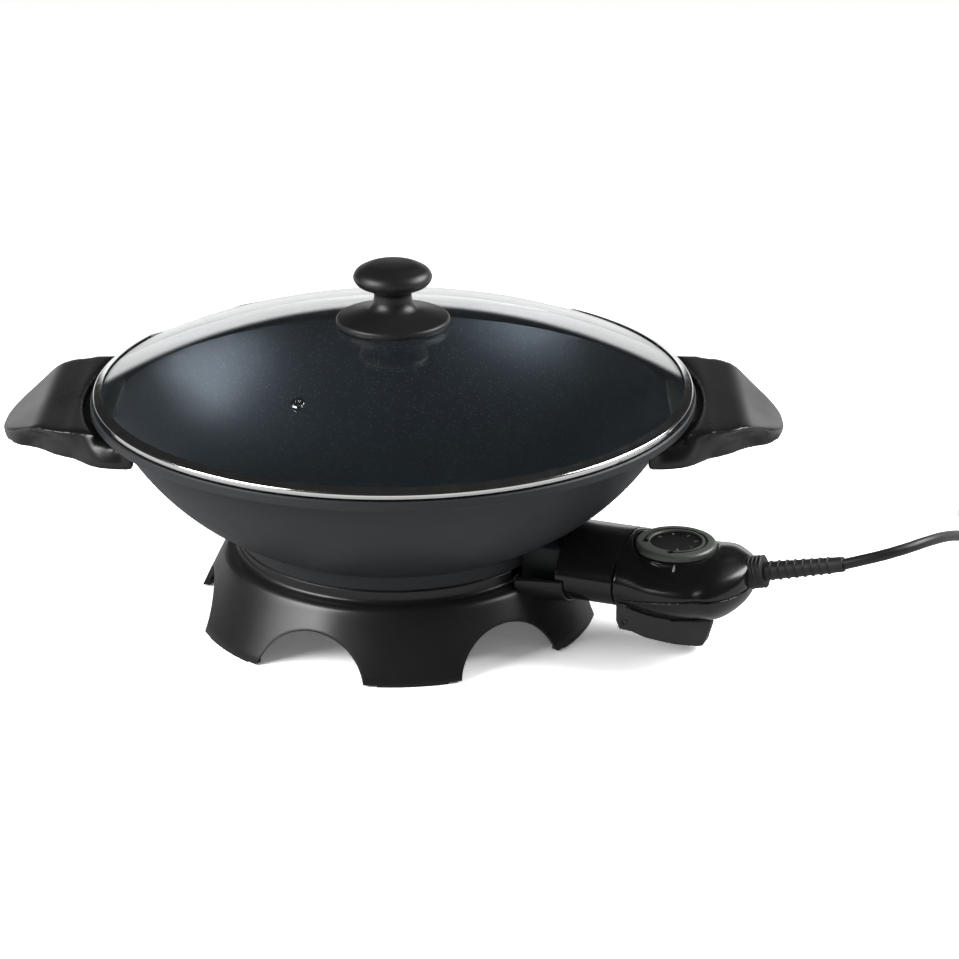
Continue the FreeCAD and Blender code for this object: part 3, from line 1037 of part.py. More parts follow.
def make_handle(label, side):
    """A moulded handle: its plan and side outlines crossed, cleared for the pan and its lug."""
    name = "Handle" + side
    plan = extruded_piece(name + "Plan", "XY_Plane", [
        ("HandleStart", "-HandleHalfWidth"),
        ("HandleWaist", "-HandleWaistHalf", "HandleSide"),
        ("HandleReach", "-HandleTipHalf", "HandleNose"),
        ("HandleReach", "HandleTipHalf"),
        ("HandleWaist", "HandleWaistHalf", "HandleNose"),
        ("HandleStart", "HandleHalfWidth", "HandleSide"),
    ], "HandleTop", lift="60")
    profile = extruded_piece(name + "Profile", "XZ_Plane", [
        ("HandleStart - 5", "HandleTop - HandleDepth"),
        ("HandleWaist", "HandleTop - HandleDepth"),
        ("HandleReach - 4", "HandleTop - HandleDepth - 1.5"),
        ("HandleReach", "HandleTop - HandleDepth + 0.5"),
        ("HandleReach + 0.1", "HandleTop - 15.5"),
        ("HandleWaist + 6", "HandleTop - 0.9", "70"),
        ("HandleWaist + 1", "HandleTop", "8"),
        ("HandleWaist - 11", "HandleTop - 1.6", "-24"),
        ("HandleWaist - 20", "HandleTop - 0.3", "-22"),
        ("HandleStart - 5", "HandleTop - 0.3"),
    ], "2 * HandleHalfWidth + 4", midplane=True)
    lip_low = "LipTop - LipHeight - 1.2"
    pan_room = turned_piece(name + "PanRoom", [
        ("100", "LipTop - 40"),
        ("ShoulderRadius - 9", "LipTop - 28"),
        ("ShoulderRadius + 0.6", "LipTop - ShoulderDrop - 0.3"),
        ("LipRadius + 0.3", lip_low),
        ("LipRadius + HandleGap", lip_low),
        ("LipRadius + HandleGap", "LipTop + 20"),
        ("100", "LipTop + 20"),
    ])
    blank = cut(name + "Blank", common(name + "Crossed", plan, profile), pan_room)
    pocket = primitive("Box", name + "Pocket", ("HandleStart", "-LugHalfWidth - LugGap", "LugBottom - LugGap"),
                       Length="LugReach - HandleStart + LugGap", Width="2 * (LugHalfWidth + LugGap)",
                       Height="LugThickness + 2 * LugGap")
    places = [("HandleScrewPlace", f"{sign}HandleScrewPitch / 2") for sign in ("", "-")]
    shanks = [primitive("Cylinder", f"{name}Shank{index}", at + ("HandleTop - HandleDepth - 1",),
                        Radius="HandleScrewRadius + 0.2", Height="LugBottom + LugThickness + 3 - HandleTop + HandleDepth")
              for index, at in enumerate(places)]
    heads = [primitive("Cylinder", f"{name}Head{index}", at + ("HandleTop - HandleDepth - 1",),
                       Radius="HandleScrewRadius * 2", Height="3.8")
             for index, at in enumerate(places)]
    handle = cut(name, blank, pocket, *shanks, *heads)
    if side == "Left":
        handle.Placement = FreeCAD.Placement(Vector(), FreeCAD.Rotation(Vector(0, 0, 1), 180))
    return node(label, handle)


def make_handles():
    make_handle("handle_right", "Right")
    make_handle("handle_left", "Left")
    head_low = "HandleTop - HandleDepth"
    screws = [fuse(f"HandleScrew{index}",
                   primitive("Cylinder", f"HandleShank{index}", at + (f"{head_low} + 2",),
                             Radius="HandleScrewRadius", Height=f"LugBottom + LugThickness - 0.5 - ({head_low})"),
                   primitive("Cylinder", f"HandleHead{index}", at + (head_low,),
                             Radius="HandleScrewRadius * 1.8", Height="2.8"))
              for index, at in enumerate(handle_screw_places())]
    node("handle_screws", group("HandleScrews", *screws))


# --- lid -----------------------------------------------------------------------------------------

def dome_height(radius, arc="DomeArc"):
    """Height of a dome surface at a radius; both domes share the centre that the rim sets."""
    return f"({dome_centre()} + sqrt(({arc}) ^ 2 - ({radius}) ^ 2))"


def dome_centre():
    edge_top = "(LipTop + LidGap + RimMetal + 0.1 + GlassThickness)"
    return f"({edge_top} - sqrt(DomeArc ^ 2 - GlassEdge ^ 2))"


def make_lid():
    inner_arc = "DomeArc - GlassThickness"
    edge_top = "LipTop + LidGap + RimMetal + 0.1 + GlassThickness"
    edge_low = "LipTop + LidGap + RimMetal + 0.1"
    glass = turned_piece("Glass", [
        ("GlassHole", dome_height("GlassHole")),
        ("GlassEdge", edge_top, "-DomeArc"),
        ("GlassEdge", edge_low),
        (f"sqrt(({inner_arc}) ^ 2 - ({edge_low} - {dome_centre()}) ^ 2)", edge_low),
        ("GlassHole", dome_height("GlassHole", inner_arc), inner_arc),
    ])
    node("lid_glass", cut("LidGlass", glass, vent_piece("VentHole", "VentBore + 1.1", "12", "-6")))

    base = "LipTop + LidGap"
    rim = turned_piece("Rim", [
        ("RimRadius - RimWidth", base),
        ("RimRadius - 1", base),
        ("RimRadius", f"{base} + 1", "1.2"),
        ("RimRadius", f"{base} + RimHeight - 1.4"),
        ("RimRadius - 1.6", f"{base} + RimHeight", "1.8"),
        ("RimRadius - RimWidth - 0.4", f"{base} + RimHeight + 1.7"),
        ("RimRadius - RimWidth - 0.6", f"{base} + RimHeight + 1.1"),
        ("GlassEdge + 0.1", f"{edge_top} + 0.1"),
        ("GlassEdge + 0.1", f"{base} + RimMetal"),
        ("RimRadius - RimWidth", f"{base} + RimMetal"),
    ])
    node("lid_rim", rim)

    vent_tube = vent_piece("VentTube", "VentBore + 1", "GlassThickness + 1.6", "-GlassThickness - 0.8")
    vent_top = vent_piece("VentTop", "VentFlange", "0.8", "0.1")
    vent_low = vent_piece("VentLow", "VentFlange - 0.4", "0.8", "-GlassThickness - 0.9")
    vent_bore = vent_piece("VentBoreTool", "VentBore", "14", "-8")
    node("steam_vent", cut("SteamVent", fuse("VentSolid", vent_tube, vent_top, vent_low), vent_bore))

    flange_in = "KnobScrewRadius + 0.3"
    seat = "DomeArc + 0.15"
    flange_edge = dome_height("KnobFlange - 1.2", seat)
    top_mid = dome_height("0", seat)
    flange = turned_piece("KnobFlangeBody", [
        (flange_in, f"{top_mid} + KnobFlangeRise - 3"),
        (flange_in, dome_height(flange_in, seat)),
        ("KnobFlange - 1.2", flange_edge, f"-({seat})"),
        ("KnobFlange", f"{flange_edge} + 1.2", "1.4"),
        ("KnobFlange", f"{flange_edge} + KnobFlangeEdge - 2"),
        ("KnobFlange - 2", f"{flange_edge} + KnobFlangeEdge", "2"),
        ("KnobStem + 5", f"{top_mid} + KnobFlangeRise - 3.2", "160"),
        ("KnobStem + 0.4", f"{top_mid} + KnobFlangeRise", "-7"),
        ("KnobStem - 2", f"{top_mid} + KnobFlangeRise"),
        ("KnobStem - 2", f"{top_mid} + KnobFlangeRise - 3"),
    ])
    node("knob_flange", flange)

    stem_low = f"{top_mid} + KnobFlangeRise - 3"
    knob = turned_piece("KnobBody", [
        ("0", stem_low),
        ("KnobStem - 2.2", stem_low),
        ("KnobStem - 2.2", f"{top_mid} + KnobFlangeRise + 0.1"),
        ("KnobStem + 0.4", f"{top_mid} + KnobFlangeRise + 0.1"),
        ("KnobStem - 0.6", "KnobCapBottom - 2.5", "-22"),
        ("KnobStem + 2.5", "KnobCapBottom + 0.4", "-3.5"),
        ("KnobCap - 5", "KnobCapBottom + 3"),
        ("KnobCap", "KnobCapBottom + 7.5", "6.2"),
        ("KnobCap - 4.5", "KnobTop - 2.6", "6.5"),
        ("KnobCap - 12", "KnobTop", "22"),
        ("0", "KnobTop"),
    ])
    hole = primitive("Cylinder", "KnobInsertHole", ("0", "0", f"{stem_low} - 1"),
                     Radius="KnobScrewRadius + PressGap", Height="16")
    node("lid_knob", cut("LidKnob", knob, hole))

    glass_low = dome_height("0", inner_arc)
    washer = cut("KnobWasherRing", primitive("Cylinder", "WasherDisc", ("0", "0", f"{glass_low} - 1.8"), Radius="9", Height="1.6"),
                 primitive("Cylinder", "WasherHole", ("0", "0", f"{glass_low} - 3"), Radius="KnobScrewRadius + 0.2", Height="5"))
    node("knob_washer", washer)
    screw = fuse("KnobScrewBody",
                 primitive("Cylinder", "KnobScrewShank", ("0", "0", f"{glass_low} - 1.8"), Radius="KnobScrewRadius",
                           Height=f"{stem_low} + 12 - {glass_low} + 1.8"),
                 primitive("Cylinder", "KnobScrewHead", ("0", "0", f"{glass_low} - 4.8"), Radius="KnobScrewRadius * 1.9",
                           Height="3"))
    node("knob_screw", screw)


def vent_piece(name, radius, height, start):
    """A cylinder on the vent's axis, square to the glass, measured from the outer surface."""
    lean = math.degrees(math.asin(size("VentDistance / DomeArc")))
    turn = size("VentAngle")
    rotation = FreeCAD.Rotation(Vector(0, 0, 1), -turn) * FreeCAD.Rotation(Vector(1, 0, 0), lean)
    return primitive("Cylinder", name, (
        f"-(DomeArc + {start}) * (VentDistance / DomeArc) * sin(VentAngle)",
        f"-(DomeArc + {start}) * (VentDistance / DomeArc) * cos(VentAngle)",
        f"{dome_centre()} + (DomeArc + {start}) * sqrt(1 - (VentDistance / DomeArc) ^ 2)"), rotation,
        Radius=radius, Height=height)


# --- build and write ------------------------------------------------------------------------------

make_pan()
make_element()
make_stand()
make_socket()
make_control()
make_connector()
make_thermostat()
make_dial()
make_lever()
make_boot()
make_lead()
make_handles()
make_lid()
doc.recompute()

faults = [f"{obj.Label}: {obj.State}" for obj in doc.Objects if {"Invalid", "Error"} & set(obj.State)]
faults += [f"{label}: bad shape" for label, obj in nodes.items()
           if obj.Shape.isNull() or not obj.Shape.isValid() or not obj.Shape.Solids]
if faults:
    raise RuntimeError("; ".join(faults))

os.makedirs("parts", exist_ok=True)
for label, obj in nodes.items():
    obj.Shape.exportStep(f"parts/{label}.step")
    box = obj.Shape.BoundBox
    print(f"{label}: {len(obj.Shape.Solids)} solid(s), {obj.Shape.Volume / 1000:.2f} cm3, "
          f"z {box.ZMin:.1f} to {box.ZMax:.1f}")
print(f"{len(nodes)} nodes")
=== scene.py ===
import bpy
import bmesh
import math
from mathutils import Matrix, Vector


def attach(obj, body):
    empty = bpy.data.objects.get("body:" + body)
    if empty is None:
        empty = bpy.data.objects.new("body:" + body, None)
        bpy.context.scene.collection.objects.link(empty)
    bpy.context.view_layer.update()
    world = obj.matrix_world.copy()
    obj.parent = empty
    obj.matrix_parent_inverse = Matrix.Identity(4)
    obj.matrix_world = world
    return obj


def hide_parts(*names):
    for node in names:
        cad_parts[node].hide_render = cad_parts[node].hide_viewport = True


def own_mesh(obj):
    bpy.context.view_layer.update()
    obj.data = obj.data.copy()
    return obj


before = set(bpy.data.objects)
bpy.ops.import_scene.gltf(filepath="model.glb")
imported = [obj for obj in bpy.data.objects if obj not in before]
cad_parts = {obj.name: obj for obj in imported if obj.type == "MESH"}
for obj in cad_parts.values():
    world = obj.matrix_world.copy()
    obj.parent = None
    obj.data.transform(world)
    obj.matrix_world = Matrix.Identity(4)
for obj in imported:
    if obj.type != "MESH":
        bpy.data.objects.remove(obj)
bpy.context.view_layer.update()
scene = bpy.context.scene
print("frame loaded:", len(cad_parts), "nodes")

# Sizes are in millimetres, apart from the camera's, the studio's and the lamps', which are in metres.
# Origin on the table under the pan's axis, X right, Y away, Z up.
metre = 1000.0
controlTurn = -21.0  # the socket and the control point this many degrees round from X, to the front
weldGap = 0.0004  # points of a drawn outline that lie closer than this are one
mergeGap = 0.002  # the same for a copy of a CAD solid, whose triangles come loose
flatAngle = 0.6  # degrees; triangles of such a copy that meet at less than this are one flat face


def linear(hexColour):
    # sRGB hex text to the linear colour that a socket takes
    parts = [int(hexColour[i:i + 2], 16) / 255 for i in (1, 3, 5)]
    return tuple(c / 12.92 if c <= 0.04045 else ((c + 0.055) / 1.055) ** 2.4 for c in parts) + (1.0,)


def addNode(tree, kind, settings=None):
    # settings by attribute, input name or input number; another node's output is linked, the rest is set
    node = tree.nodes.new(kind)
    for key, value in (settings or {}).items():
        if isinstance(key, str) and key not in node.inputs:
            setattr(node, key, value)
        elif isinstance(value, bpy.types.NodeSocket):
            tree.links.new(value, node.inputs[key])
        else:
            node.inputs[key].default_value = value
    return node


def clearTree(owner):
    # an empty node tree for a material or the world
    owner.use_nodes = True
    owner.node_tree.nodes.clear()
    return owner.node_tree


def surfaceOf(name, colour, roughness, patches, grain=None, specular=0.5, metallic=0.0):
    # patches: size, second colour and change of roughness; grain: size and height
    # real mould grain is about 0.1 mm wide, too fine to show, so it is drawn 4 to 10 times as coarse
    material = bpy.data.materials.new(name)
    tree = clearTree(material)
    base = addNode(tree, "ShaderNodeBsdfPrincipled", {
        "Base Color": linear(colour), "Roughness": roughness, "Specular IOR Level": specular,
        "Metallic": metallic})
    addNode(tree, "ShaderNodeOutputMaterial", {"Surface": base.outputs[0]})
    place = addNode(tree, "ShaderNodeTexCoord").outputs["Object"]
    size, other, change = patches
    cloud = addNode(tree, "ShaderNodeTexNoise", {
        "Vector": place, "Scale": metre / size, "Detail": 4.0, "Roughness": 0.55}).outputs["Fac"]
    tint = addNode(tree, "ShaderNodeMix", {
        "data_type": "RGBA", "Factor": cloud, 6: linear(colour), 7: linear(other)})
    spread = addNode(tree, "ShaderNodeMapRange", {
        "Value": cloud, "From Min": 0.3, "From Max": 0.7,
        "To Min": roughness - change, "To Max": roughness + change})
    tree.links.new(tint.outputs[2], base.inputs["Base Color"])
    tree.links.new(spread.outputs[0], base.inputs["Roughness"])
    if grain:
        size, height = grain
        fine = addNode(tree, "ShaderNodeTexNoise", {
            "Vector": place, "Scale": metre / size, "Detail": 2.0, "Roughness": 0.6}).outputs["Fac"]
        bump = addNode(tree, "ShaderNodeBump", {"Strength": 1.0, "Distance": height / metre, "Height": fine})
        tree.links.new(bump.outputs[0], base.inputs["Normal"])
    return material


def coatingOf():
    # PTFE coating, sprayed and baked inside the pan: semi-gloss black, fine pale specks and orange peel
    material = surfaceOf("ptfeCoatingSprayed", "#0d1013", 0.33, (90, "#0f1316", 0.012), (1.6, 0.05),
                         specular=0.62)
    tree = material.node_tree
    base = next(node for node in tree.nodes if node.type == "BSDF_PRINCIPLED")
    base.inputs["Specular Tint"].default_value = linear("#cfdcf0")
    place = next(node for node in tree.nodes if node.type == "TEX_COORD").outputs["Object"]
    speckSpacing = 2.4  # the real specks are closer together and too fine to show
    specks = addNode(tree, "ShaderNodeTexVoronoi", {"Vector": place, "Scale": metre / speckSpacing})
    share = addNode(tree, "ShaderNodeMapRange", {
        "Value": specks.outputs["Distance"], "From Min": 0.10, "From Max": 0.26,
        "To Min": 0.55, "To Max": 0.0})
    speckled = addNode(tree, "ShaderNodeMix", {
        "data_type": "RGBA", "Factor": share.outputs[0], 6: base.inputs["Base Color"].links[0].from_socket,
        7: linear("#4a5256")})
    tree.links.new(speckled.outputs[2], base.inputs["Base Color"])
    return material


def glassOf():
    # soda-lime glass, pressed and tempered: clear and faintly green; lamps shine through it on what is below
    material = bpy.data.materials.new("sodaLimeGlassTempered")
    tree = clearTree(material)
    glass = addNode(tree, "ShaderNodeBsdfPrincipled", {
        "Base Color": linear("#f0f3f3"), "Roughness": 0.0, "IOR": 1.47, "Transmission Weight": 1.0})
    clear = addNode(tree, "ShaderNodeBsdfTransparent", {"Color": linear("#eef2f1")})
    shadow = addNode(tree, "ShaderNodeLightPath").outputs["Is Shadow Ray"]
    mix = addNode(tree, "ShaderNodeMixShader", {0: shadow, 1: glass.outputs[0], 2: clear.outputs[0]})
    addNode(tree, "ShaderNodeOutputMaterial", {"Surface": mix.outputs[0]})
    return material


finishes = {
    "coating": coatingOf(),
    "glass": glassOf(),
    # cast aluminium, grit-blasted and spray-coated black outside the pan: dull, faintly mottled
    "castMatt": surfaceOf("castAluminiumCoatedMatt", "#25272a", 0.50, (35, "#2b2e31", 0.05), (0.9, 0.035),
                          specular=0.36),
    # phenolic plastic, compression moulded: satin black with a very fine grain
    "phenolicSatin": surfaceOf("phenolicMouldedSatin", "#0f0e0e", 0.30, (45, "#141313", 0.04), (0.7, 0.010),
                               specular=0.46),
    # phenolic plastic, moulded in a dull tool: the same black with a wider, softer shine
    "phenolicDull": surfaceOf("phenolicMouldedDull", "#121111", 0.42, (30, "#171616", 0.04), (0.7, 0.012),
                              specular=0.42),
    # PBT plastic, injection moulded: satin black with faint flow marks
    "pbtSatin": surfaceOf("pbtMouldedSatin", "#161617", 0.33, (55, "#1b1a1a", 0.05), (0.8, 0.010)),
    # ABS plastic, injection moulded in a polished tool: glossy black
    "absGloss": surfaceOf("absMouldedGloss", "#111112", 0.20, (60, "#151516", 0.03), (1.2, 0.004)),
    # ABS plastic, injection moulded in an etched tool: matt dark grey
    "absMatt": surfaceOf("absMouldedEtched", "#343336", 0.58, (20, "#39383b", 0.05), (0.5, 0.02)),
    # ABS plastic, moulded in grey with a silk finish: the dial's ring
    "dialGrey": surfaceOf("absMouldedDialGrey", "#4c504b", 0.38, (12, "#535752", 0.04), (0.5, 0.006)),
    # ABS plastic, moulded black: the dial's face
    "dialBlack": surfaceOf("absMouldedDialBlack", "#0b0b0c", 0.36, (15, "#0f0f10", 0.04), (0.5, 0.006),
                           specular=0.35),
    # ink, pad-printed: flat pale grey
    "ink": surfaceOf("printInkPale", "#a9aaa8", 0.6, (3, "#9b9c9a", 0.05)),
    # stainless steel, rolled and polished: bright and very slightly uneven
    "steelPolished": surfaceOf("stainlessRolledPolished", "#d8d8d6", 0.13, (9, "#c9c9c7", 0.04), (2.5, 0.004),
                               metallic=1.0),
    # steel, zinc plated: greyish and slightly clouded
    "zincPlated": surfaceOf("steelZincPlated", "#b4b6b8", 0.34, (4, "#a3a6a9", 0.08), (0.4, 0.006),
                            metallic=1.0),
    # steel, black oxide: dark with a dull metal shine
    "blackOxide": surfaceOf("steelBlackOxide", "#2a2a2c", 0.45, (4, "#313133", 0.06), (0.4, 0.006),
                            metallic=1.0),
    # steel sheet, aluminised and pressed: dull bright
    "sheetSteel": surfaceOf("steelSheetPressed", "#a8a9aa", 0.42, (18, "#96989a", 0.07), (0.8, 0.01),
                            metallic=1.0),
    # steel sheath, oxidised by heat: brownish grey
    "heatSheath": surfaceOf("steelSheathOxidised", "#6a625b", 0.5, (10, "#54504e", 0.08), (0.6, 0.01),
                            metallic=1.0),
    # brass, stamped: yellow and slightly dulled
    "brassStamped": surfaceOf("brassStamped", "#c4a45e", 0.3, (5, "#b18f4c", 0.08), (0.5, 0.005),
                              metallic=1.0),
    # steatite, pressed and fired: off-white and matt
    "steatite": surfaceOf("steatiteFired", "#d9d3c2", 0.6, (3, "#cdc6b3", 0.06), (0.4, 0.01)),
    # rubber, moulded: soft black, dull
    "rubber": surfaceOf("rubberMoulded", "#1c1c1d", 0.55, (14, "#232324", 0.05), (0.6, 0.02)),
    # PVC sheath, extruded: black with a soft sheen
    "cordSheath": surfaceOf("pvcSheathExtruded", "#141415", 0.44, (25, "#19191a", 0.05), (0.8, 0.012)),
    # glass-fibre braid, varnished: brown and rough
    "braid": surfaceOf("glassBraidSleeve", "#6b4c33", 0.7, (2, "#7d5d41", 0.06), (0.5, 0.05)),
    # polyamide, natural, injection moulded: ivory
    "polyamide": surfaceOf("polyamideMouldedNatural", "#c9c3b0", 0.45, (6, "#beb8a4", 0.05), (0.5, 0.01)),
}
print("finishes:", len(finishes))


def rotate(bm, degrees, axis="Z", verts=None):
    matrix = Matrix.Rotation(math.radians(degrees), 3, axis)
    bmesh.ops.rotate(bm, verts=verts or bm.verts, cent=(0, 0, 0), matrix=matrix)


def resize(bm, factor):
    bmesh.ops.scale(bm, verts=bm.verts, vec=(factor, factor, factor))


def objectOf(name, bm):
    mesh = bpy.data.meshes.new(name)
    bm.to_mesh(mesh)
    bm.free()
    made = bpy.data.objects.new(name, mesh)
    scene.collection.objects.link(made)
    return made


def appliedMesh(holder):
    # an object's shape with its modifiers, as a mesh of its own
    graph = bpy.context.evaluated_depsgraph_get()
    return bpy.data.meshes.new_from_object(holder.evaluated_get(graph), depsgraph=graph)


def addPiece(name, bm, body, finish, turn=0.0, crease=30.0, slot=None, replaces=(), second=None):
    rotate(bm, turn)
    resize(bm, 1 / metre)
    piece = objectOf(name, bm)
    mesh = piece.data
    mesh.materials.append(finishes[finish])
    if second:
        mesh.materials.append(finishes[second])
    mesh.polygons.foreach_set("use_smooth", [True] * len(mesh.polygons))
    mesh.set_sharp_from_angle(angle=math.radians(crease))
    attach(piece, body)
    if replaces:
        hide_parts(*replaces)
    return piece


def easeBetween(value, start, end):
    # 0 before the start, 1 after the end, smooth between them
    share = min(1.0, max(0.0, (value - start) / (end - start)))
    return share * share * (3 - 2 * share)


def cleanUp(bm, gap):
    bmesh.ops.remove_doubles(bm, verts=bm.verts, dist=gap)
    bmesh.ops.dissolve_degenerate(bm, edges=bm.edges, dist=gap)
    bmesh.ops.delete(bm, geom=[e for e in bm.edges if not e.link_faces], context="EDGES")
    bmesh.ops.recalc_face_normals(bm, faces=bm.faces)


def drawOutline(bm, points, arcStep):
    # a closed outline in radius and height; a point is the end of its edge, and an arc's radius comes third,
    # positive where its centre lies left of the way
    first = last = bm.verts.new((points[-1][0], 0, points[-1][1]))
    for point in points:
        end = Vector((point[0], 0, point[1]))
        if len(point) == 2:
            new = bm.verts.new(end)
            bm.edges.new((last, new))
            last = new
            continue
        way = math.copysign(1, point[2])
        half = (end - last.co) / 2
        left = Vector((-half.z, 0, half.x)).normalized() * way
        centre = last.co + half + left * math.sqrt(point[2] ** 2 - half.length_squared)
        angle = 2 * math.asin(half.length / abs(point[2]))
        swept = bmesh.ops.spin(bm, geom=[last], cent=centre, axis=(0, -way, 0), angle=angle,
                               steps=max(2, round(math.degrees(angle) / arcStep)))
        last = next(v for v in swept["geom_last"] if isinstance(v, bmesh.types.BMVert))
        last.co = end
    bmesh.ops.weld_verts(bm, targetmap={last: first})


def turnRound(bm, steps):
    bmesh.ops.spin(bm, geom=bm.verts[:] + bm.edges[:], cent=(0, 0, 0), axis=(0, 0, 1), angle=math.tau,
                   steps=steps, use_merge=True)


def turnedMesh(points, steps, arcStep):
    # an outline turned round the Z axis, closed at its poles
    bm = bmesh.new()
    drawOutline(bm, points, arcStep)
    turnRound(bm, steps)
    cleanUp(bm, weldGap)
    return bm


def soften(bm, width, segments=3, limit=35.0):
    # round the edges that are sharper than the limit
    edges = [e for e in bm.edges if len(e.link_faces) == 2 and e.calc_face_angle(0) > math.radians(limit)]
    bmesh.ops.bevel(bm, geom=edges, offset=width, offset_type="OFFSET", segments=segments, profile=0.5,
                    affect="EDGES", material=-1, clamp_overlap=True)


def box(bm, low, high):
    made = bmesh.ops.create_cube(bm, size=1.0)["verts"]
    bmesh.ops.scale(bm, verts=made, vec=[b - a for a, b in zip(low, high)])
    bmesh.ops.translate(bm, verts=made, vec=[(a + b) / 2 for a, b in zip(low, high)])
    return made


def ovalRing(bm, along, halfWidth, halfHeight, height, sides=96):
    # a ring of vertices square to X, as an oval
    ring = bmesh.ops.create_circle(bm, cap_ends=False, radius=1.0, segments=sides)["verts"]
    rotate(bm, 90, "Y", ring)
    bmesh.ops.scale(bm, verts=ring, vec=(1, halfWidth, halfHeight))
    bmesh.ops.translate(bm, verts=ring, vec=(along, 0, height))
    return ring


def bridgeRings(bm, rings):
    # a wall between each ring of vertices and the next
    for one, two in zip(rings, rings[1:]):
        members = set(one + two)
        bmesh.ops.bridge_loops(bm, edges=[e for e in bm.edges if members.issuperset(e.verts)])


def cutWith(piece, cutter, turn):
    # take the cutter's shape out of a finished piece
    bmesh.ops.recalc_face_normals(cutter, faces=cutter.faces)
    rotate(cutter, turn)
    resize(cutter, 1 / metre)
    tool = objectOf("cutter", cutter)
    cut = piece.modifiers.new("cut", "BOOLEAN")
    cut.operation = "DIFFERENCE"
    cut.solver = "EXACT"
    cut.object = tool
    done = appliedMesh(piece)
    piece.modifiers.clear()
    piece.data = done
    bpy.data.objects.remove(tool)


def mergedCopy(node):
    # a CAD solid's mesh in millimetres, with its loose triangles joined
    bm = bmesh.new()
    bm.from_mesh(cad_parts[node].data)
    resize(bm, metre)
    bmesh.ops.remove_doubles(bm, verts=bm.verts, dist=mergeGap)
    return bm


def softCopy(name, node, voxel, rounds, body, finish, slot, reshape=None):
    # a moulded piece with rounded edges: the CAD solid in even facets, reshaped and then smoothed
    bm = mergedCopy(node)
    resize(bm, 1 / metre)
    rough = objectOf(name + "Rough", bm)
    remesh = rough.modifiers.new("even", "REMESH")
    remesh.mode = "VOXEL"
    remesh.voxel_size = voxel / metre
    bm = bmesh.new()
    bm.from_mesh(appliedMesh(rough))
    bpy.data.objects.remove(rough)
    resize(bm, metre)
    if reshape:
        reshape(bm)
    for _ in range(rounds):
        bmesh.ops.smooth_vert(bm, verts=bm.verts, factor=0.5, use_axis_x=True, use_axis_y=True,
                              use_axis_z=True)
    return addPiece(name, bm, body, finish, crease=80, slot=slot, replaces=(node,))


def edgedCopy(name, node, width, body, finish, slot, segments=2, limit=35.0):
    # a CAD solid with its sharp edges rounded
    bm = mergedCopy(node)
    bmesh.ops.dissolve_limit(bm, angle_limit=math.radians(flatAngle), verts=bm.verts, edges=bm.edges)
    soften(bm, width, segments, limit)
    return addPiece(name, bm, body, finish, crease=40, slot=slot, replaces=(node,))


view = {"place": (0.0518, -1.6682, 0.7460), "down": 21.72, "lens": 110.02, "sensor": 36.0}
camera = bpy.data.objects.new("camera", bpy.data.cameras.new("camera"))
scene.collection.objects.link(camera)
camera.location = view["place"]
camera.rotation_euler = (math.radians(90 - view["down"]), 0, 0)
camera.data.lens = view["lens"]
camera.data.sensor_width = view["sensor"]
scene.camera = camera
scene.view_settings.view_transform = "Standard"

studio = {
    "floorHalf": 9.0, "clearFrom": 0.42, "clearTo": 0.95,  # metres from the middle of the table
    "floorSeen": 1.9, "floorPlain": 0.5, "floorGlow": 0.09,
    "worldDiffuse": 0.32, "worldGloss": 0.022, "backdrop": 1.3,
    "backdropTop": (0.12, 0.17), "backdropSide": (0.84, 0.92),  # height, and share of the way straight back
}


def raysBefore(tree, *depths):
    # 1 for a ray that none of the named kinds of bounce came before, 0 for the others
    ray = addNode(tree, "ShaderNodeLightPath")
    bounces = {index: ray.outputs[depth] for index, depth in enumerate(depths)}
    bounced = addNode(tree, "ShaderNodeMath", {"operation": "ADD", 1: 0.0, **bounces})
    none = addNode(tree, "ShaderNodeMath", {"operation": "LESS_THAN", 0: bounced.outputs[0], 1: 0.5})
    return none.outputs[0]


def seenDirectly(tree):
    # what the camera sees itself or through glass
    return raysBefore(tree, "Diffuse Depth", "Glossy Depth")


def makeFloor():
    # pale and matt; clear white further out, so that it has no horizon, and it keeps the shadow close by
    bm = bmesh.new()
    bmesh.ops.create_grid(bm, x_segments=2, y_segments=2, size=studio["floorHalf"])
    floor = objectOf("floor", bm)
    paint = bpy.data.materials.new("floorPaintWhite")
    tree = clearTree(paint)
    tone = addNode(tree, "ShaderNodeMix", {
        "data_type": "RGBA", "Factor": seenDirectly(tree), 6: (studio["floorPlain"],) * 3 + (1,),
        7: (studio["floorSeen"],) * 3 + (1,)})
    matt = addNode(tree, "ShaderNodeBsdfDiffuse", {"Color": tone.outputs[2]})
    white = addNode(tree, "ShaderNodeEmission", {"Color": (1, 1, 1, 1), "Strength": 1.0})
    place = addNode(tree, "ShaderNodeTexCoord").outputs["Object"]
    away = addNode(tree, "ShaderNodeVectorMath", {"operation": "LENGTH", "Vector": place})
    share = addNode(tree, "ShaderNodeMapRange", {
        "interpolation_type": "SMOOTHSTEP", "Value": away.outputs["Value"], "From Min": studio["clearFrom"],
        "From Max": studio["clearTo"], "To Min": studio["floorGlow"]})
    both = addNode(tree, "ShaderNodeMath", {
        "operation": "MULTIPLY", 0: share.outputs[0], 1: raysBefore(tree, "Diffuse Depth")})
    mix = addNode(tree, "ShaderNodeMixShader", {0: both.outputs[0], 1: matt.outputs[0], 2: white.outputs[0]})
    addNode(tree, "ShaderNodeOutputMaterial", {"Surface": mix.outputs[0]})
    floor.data.materials.append(paint)


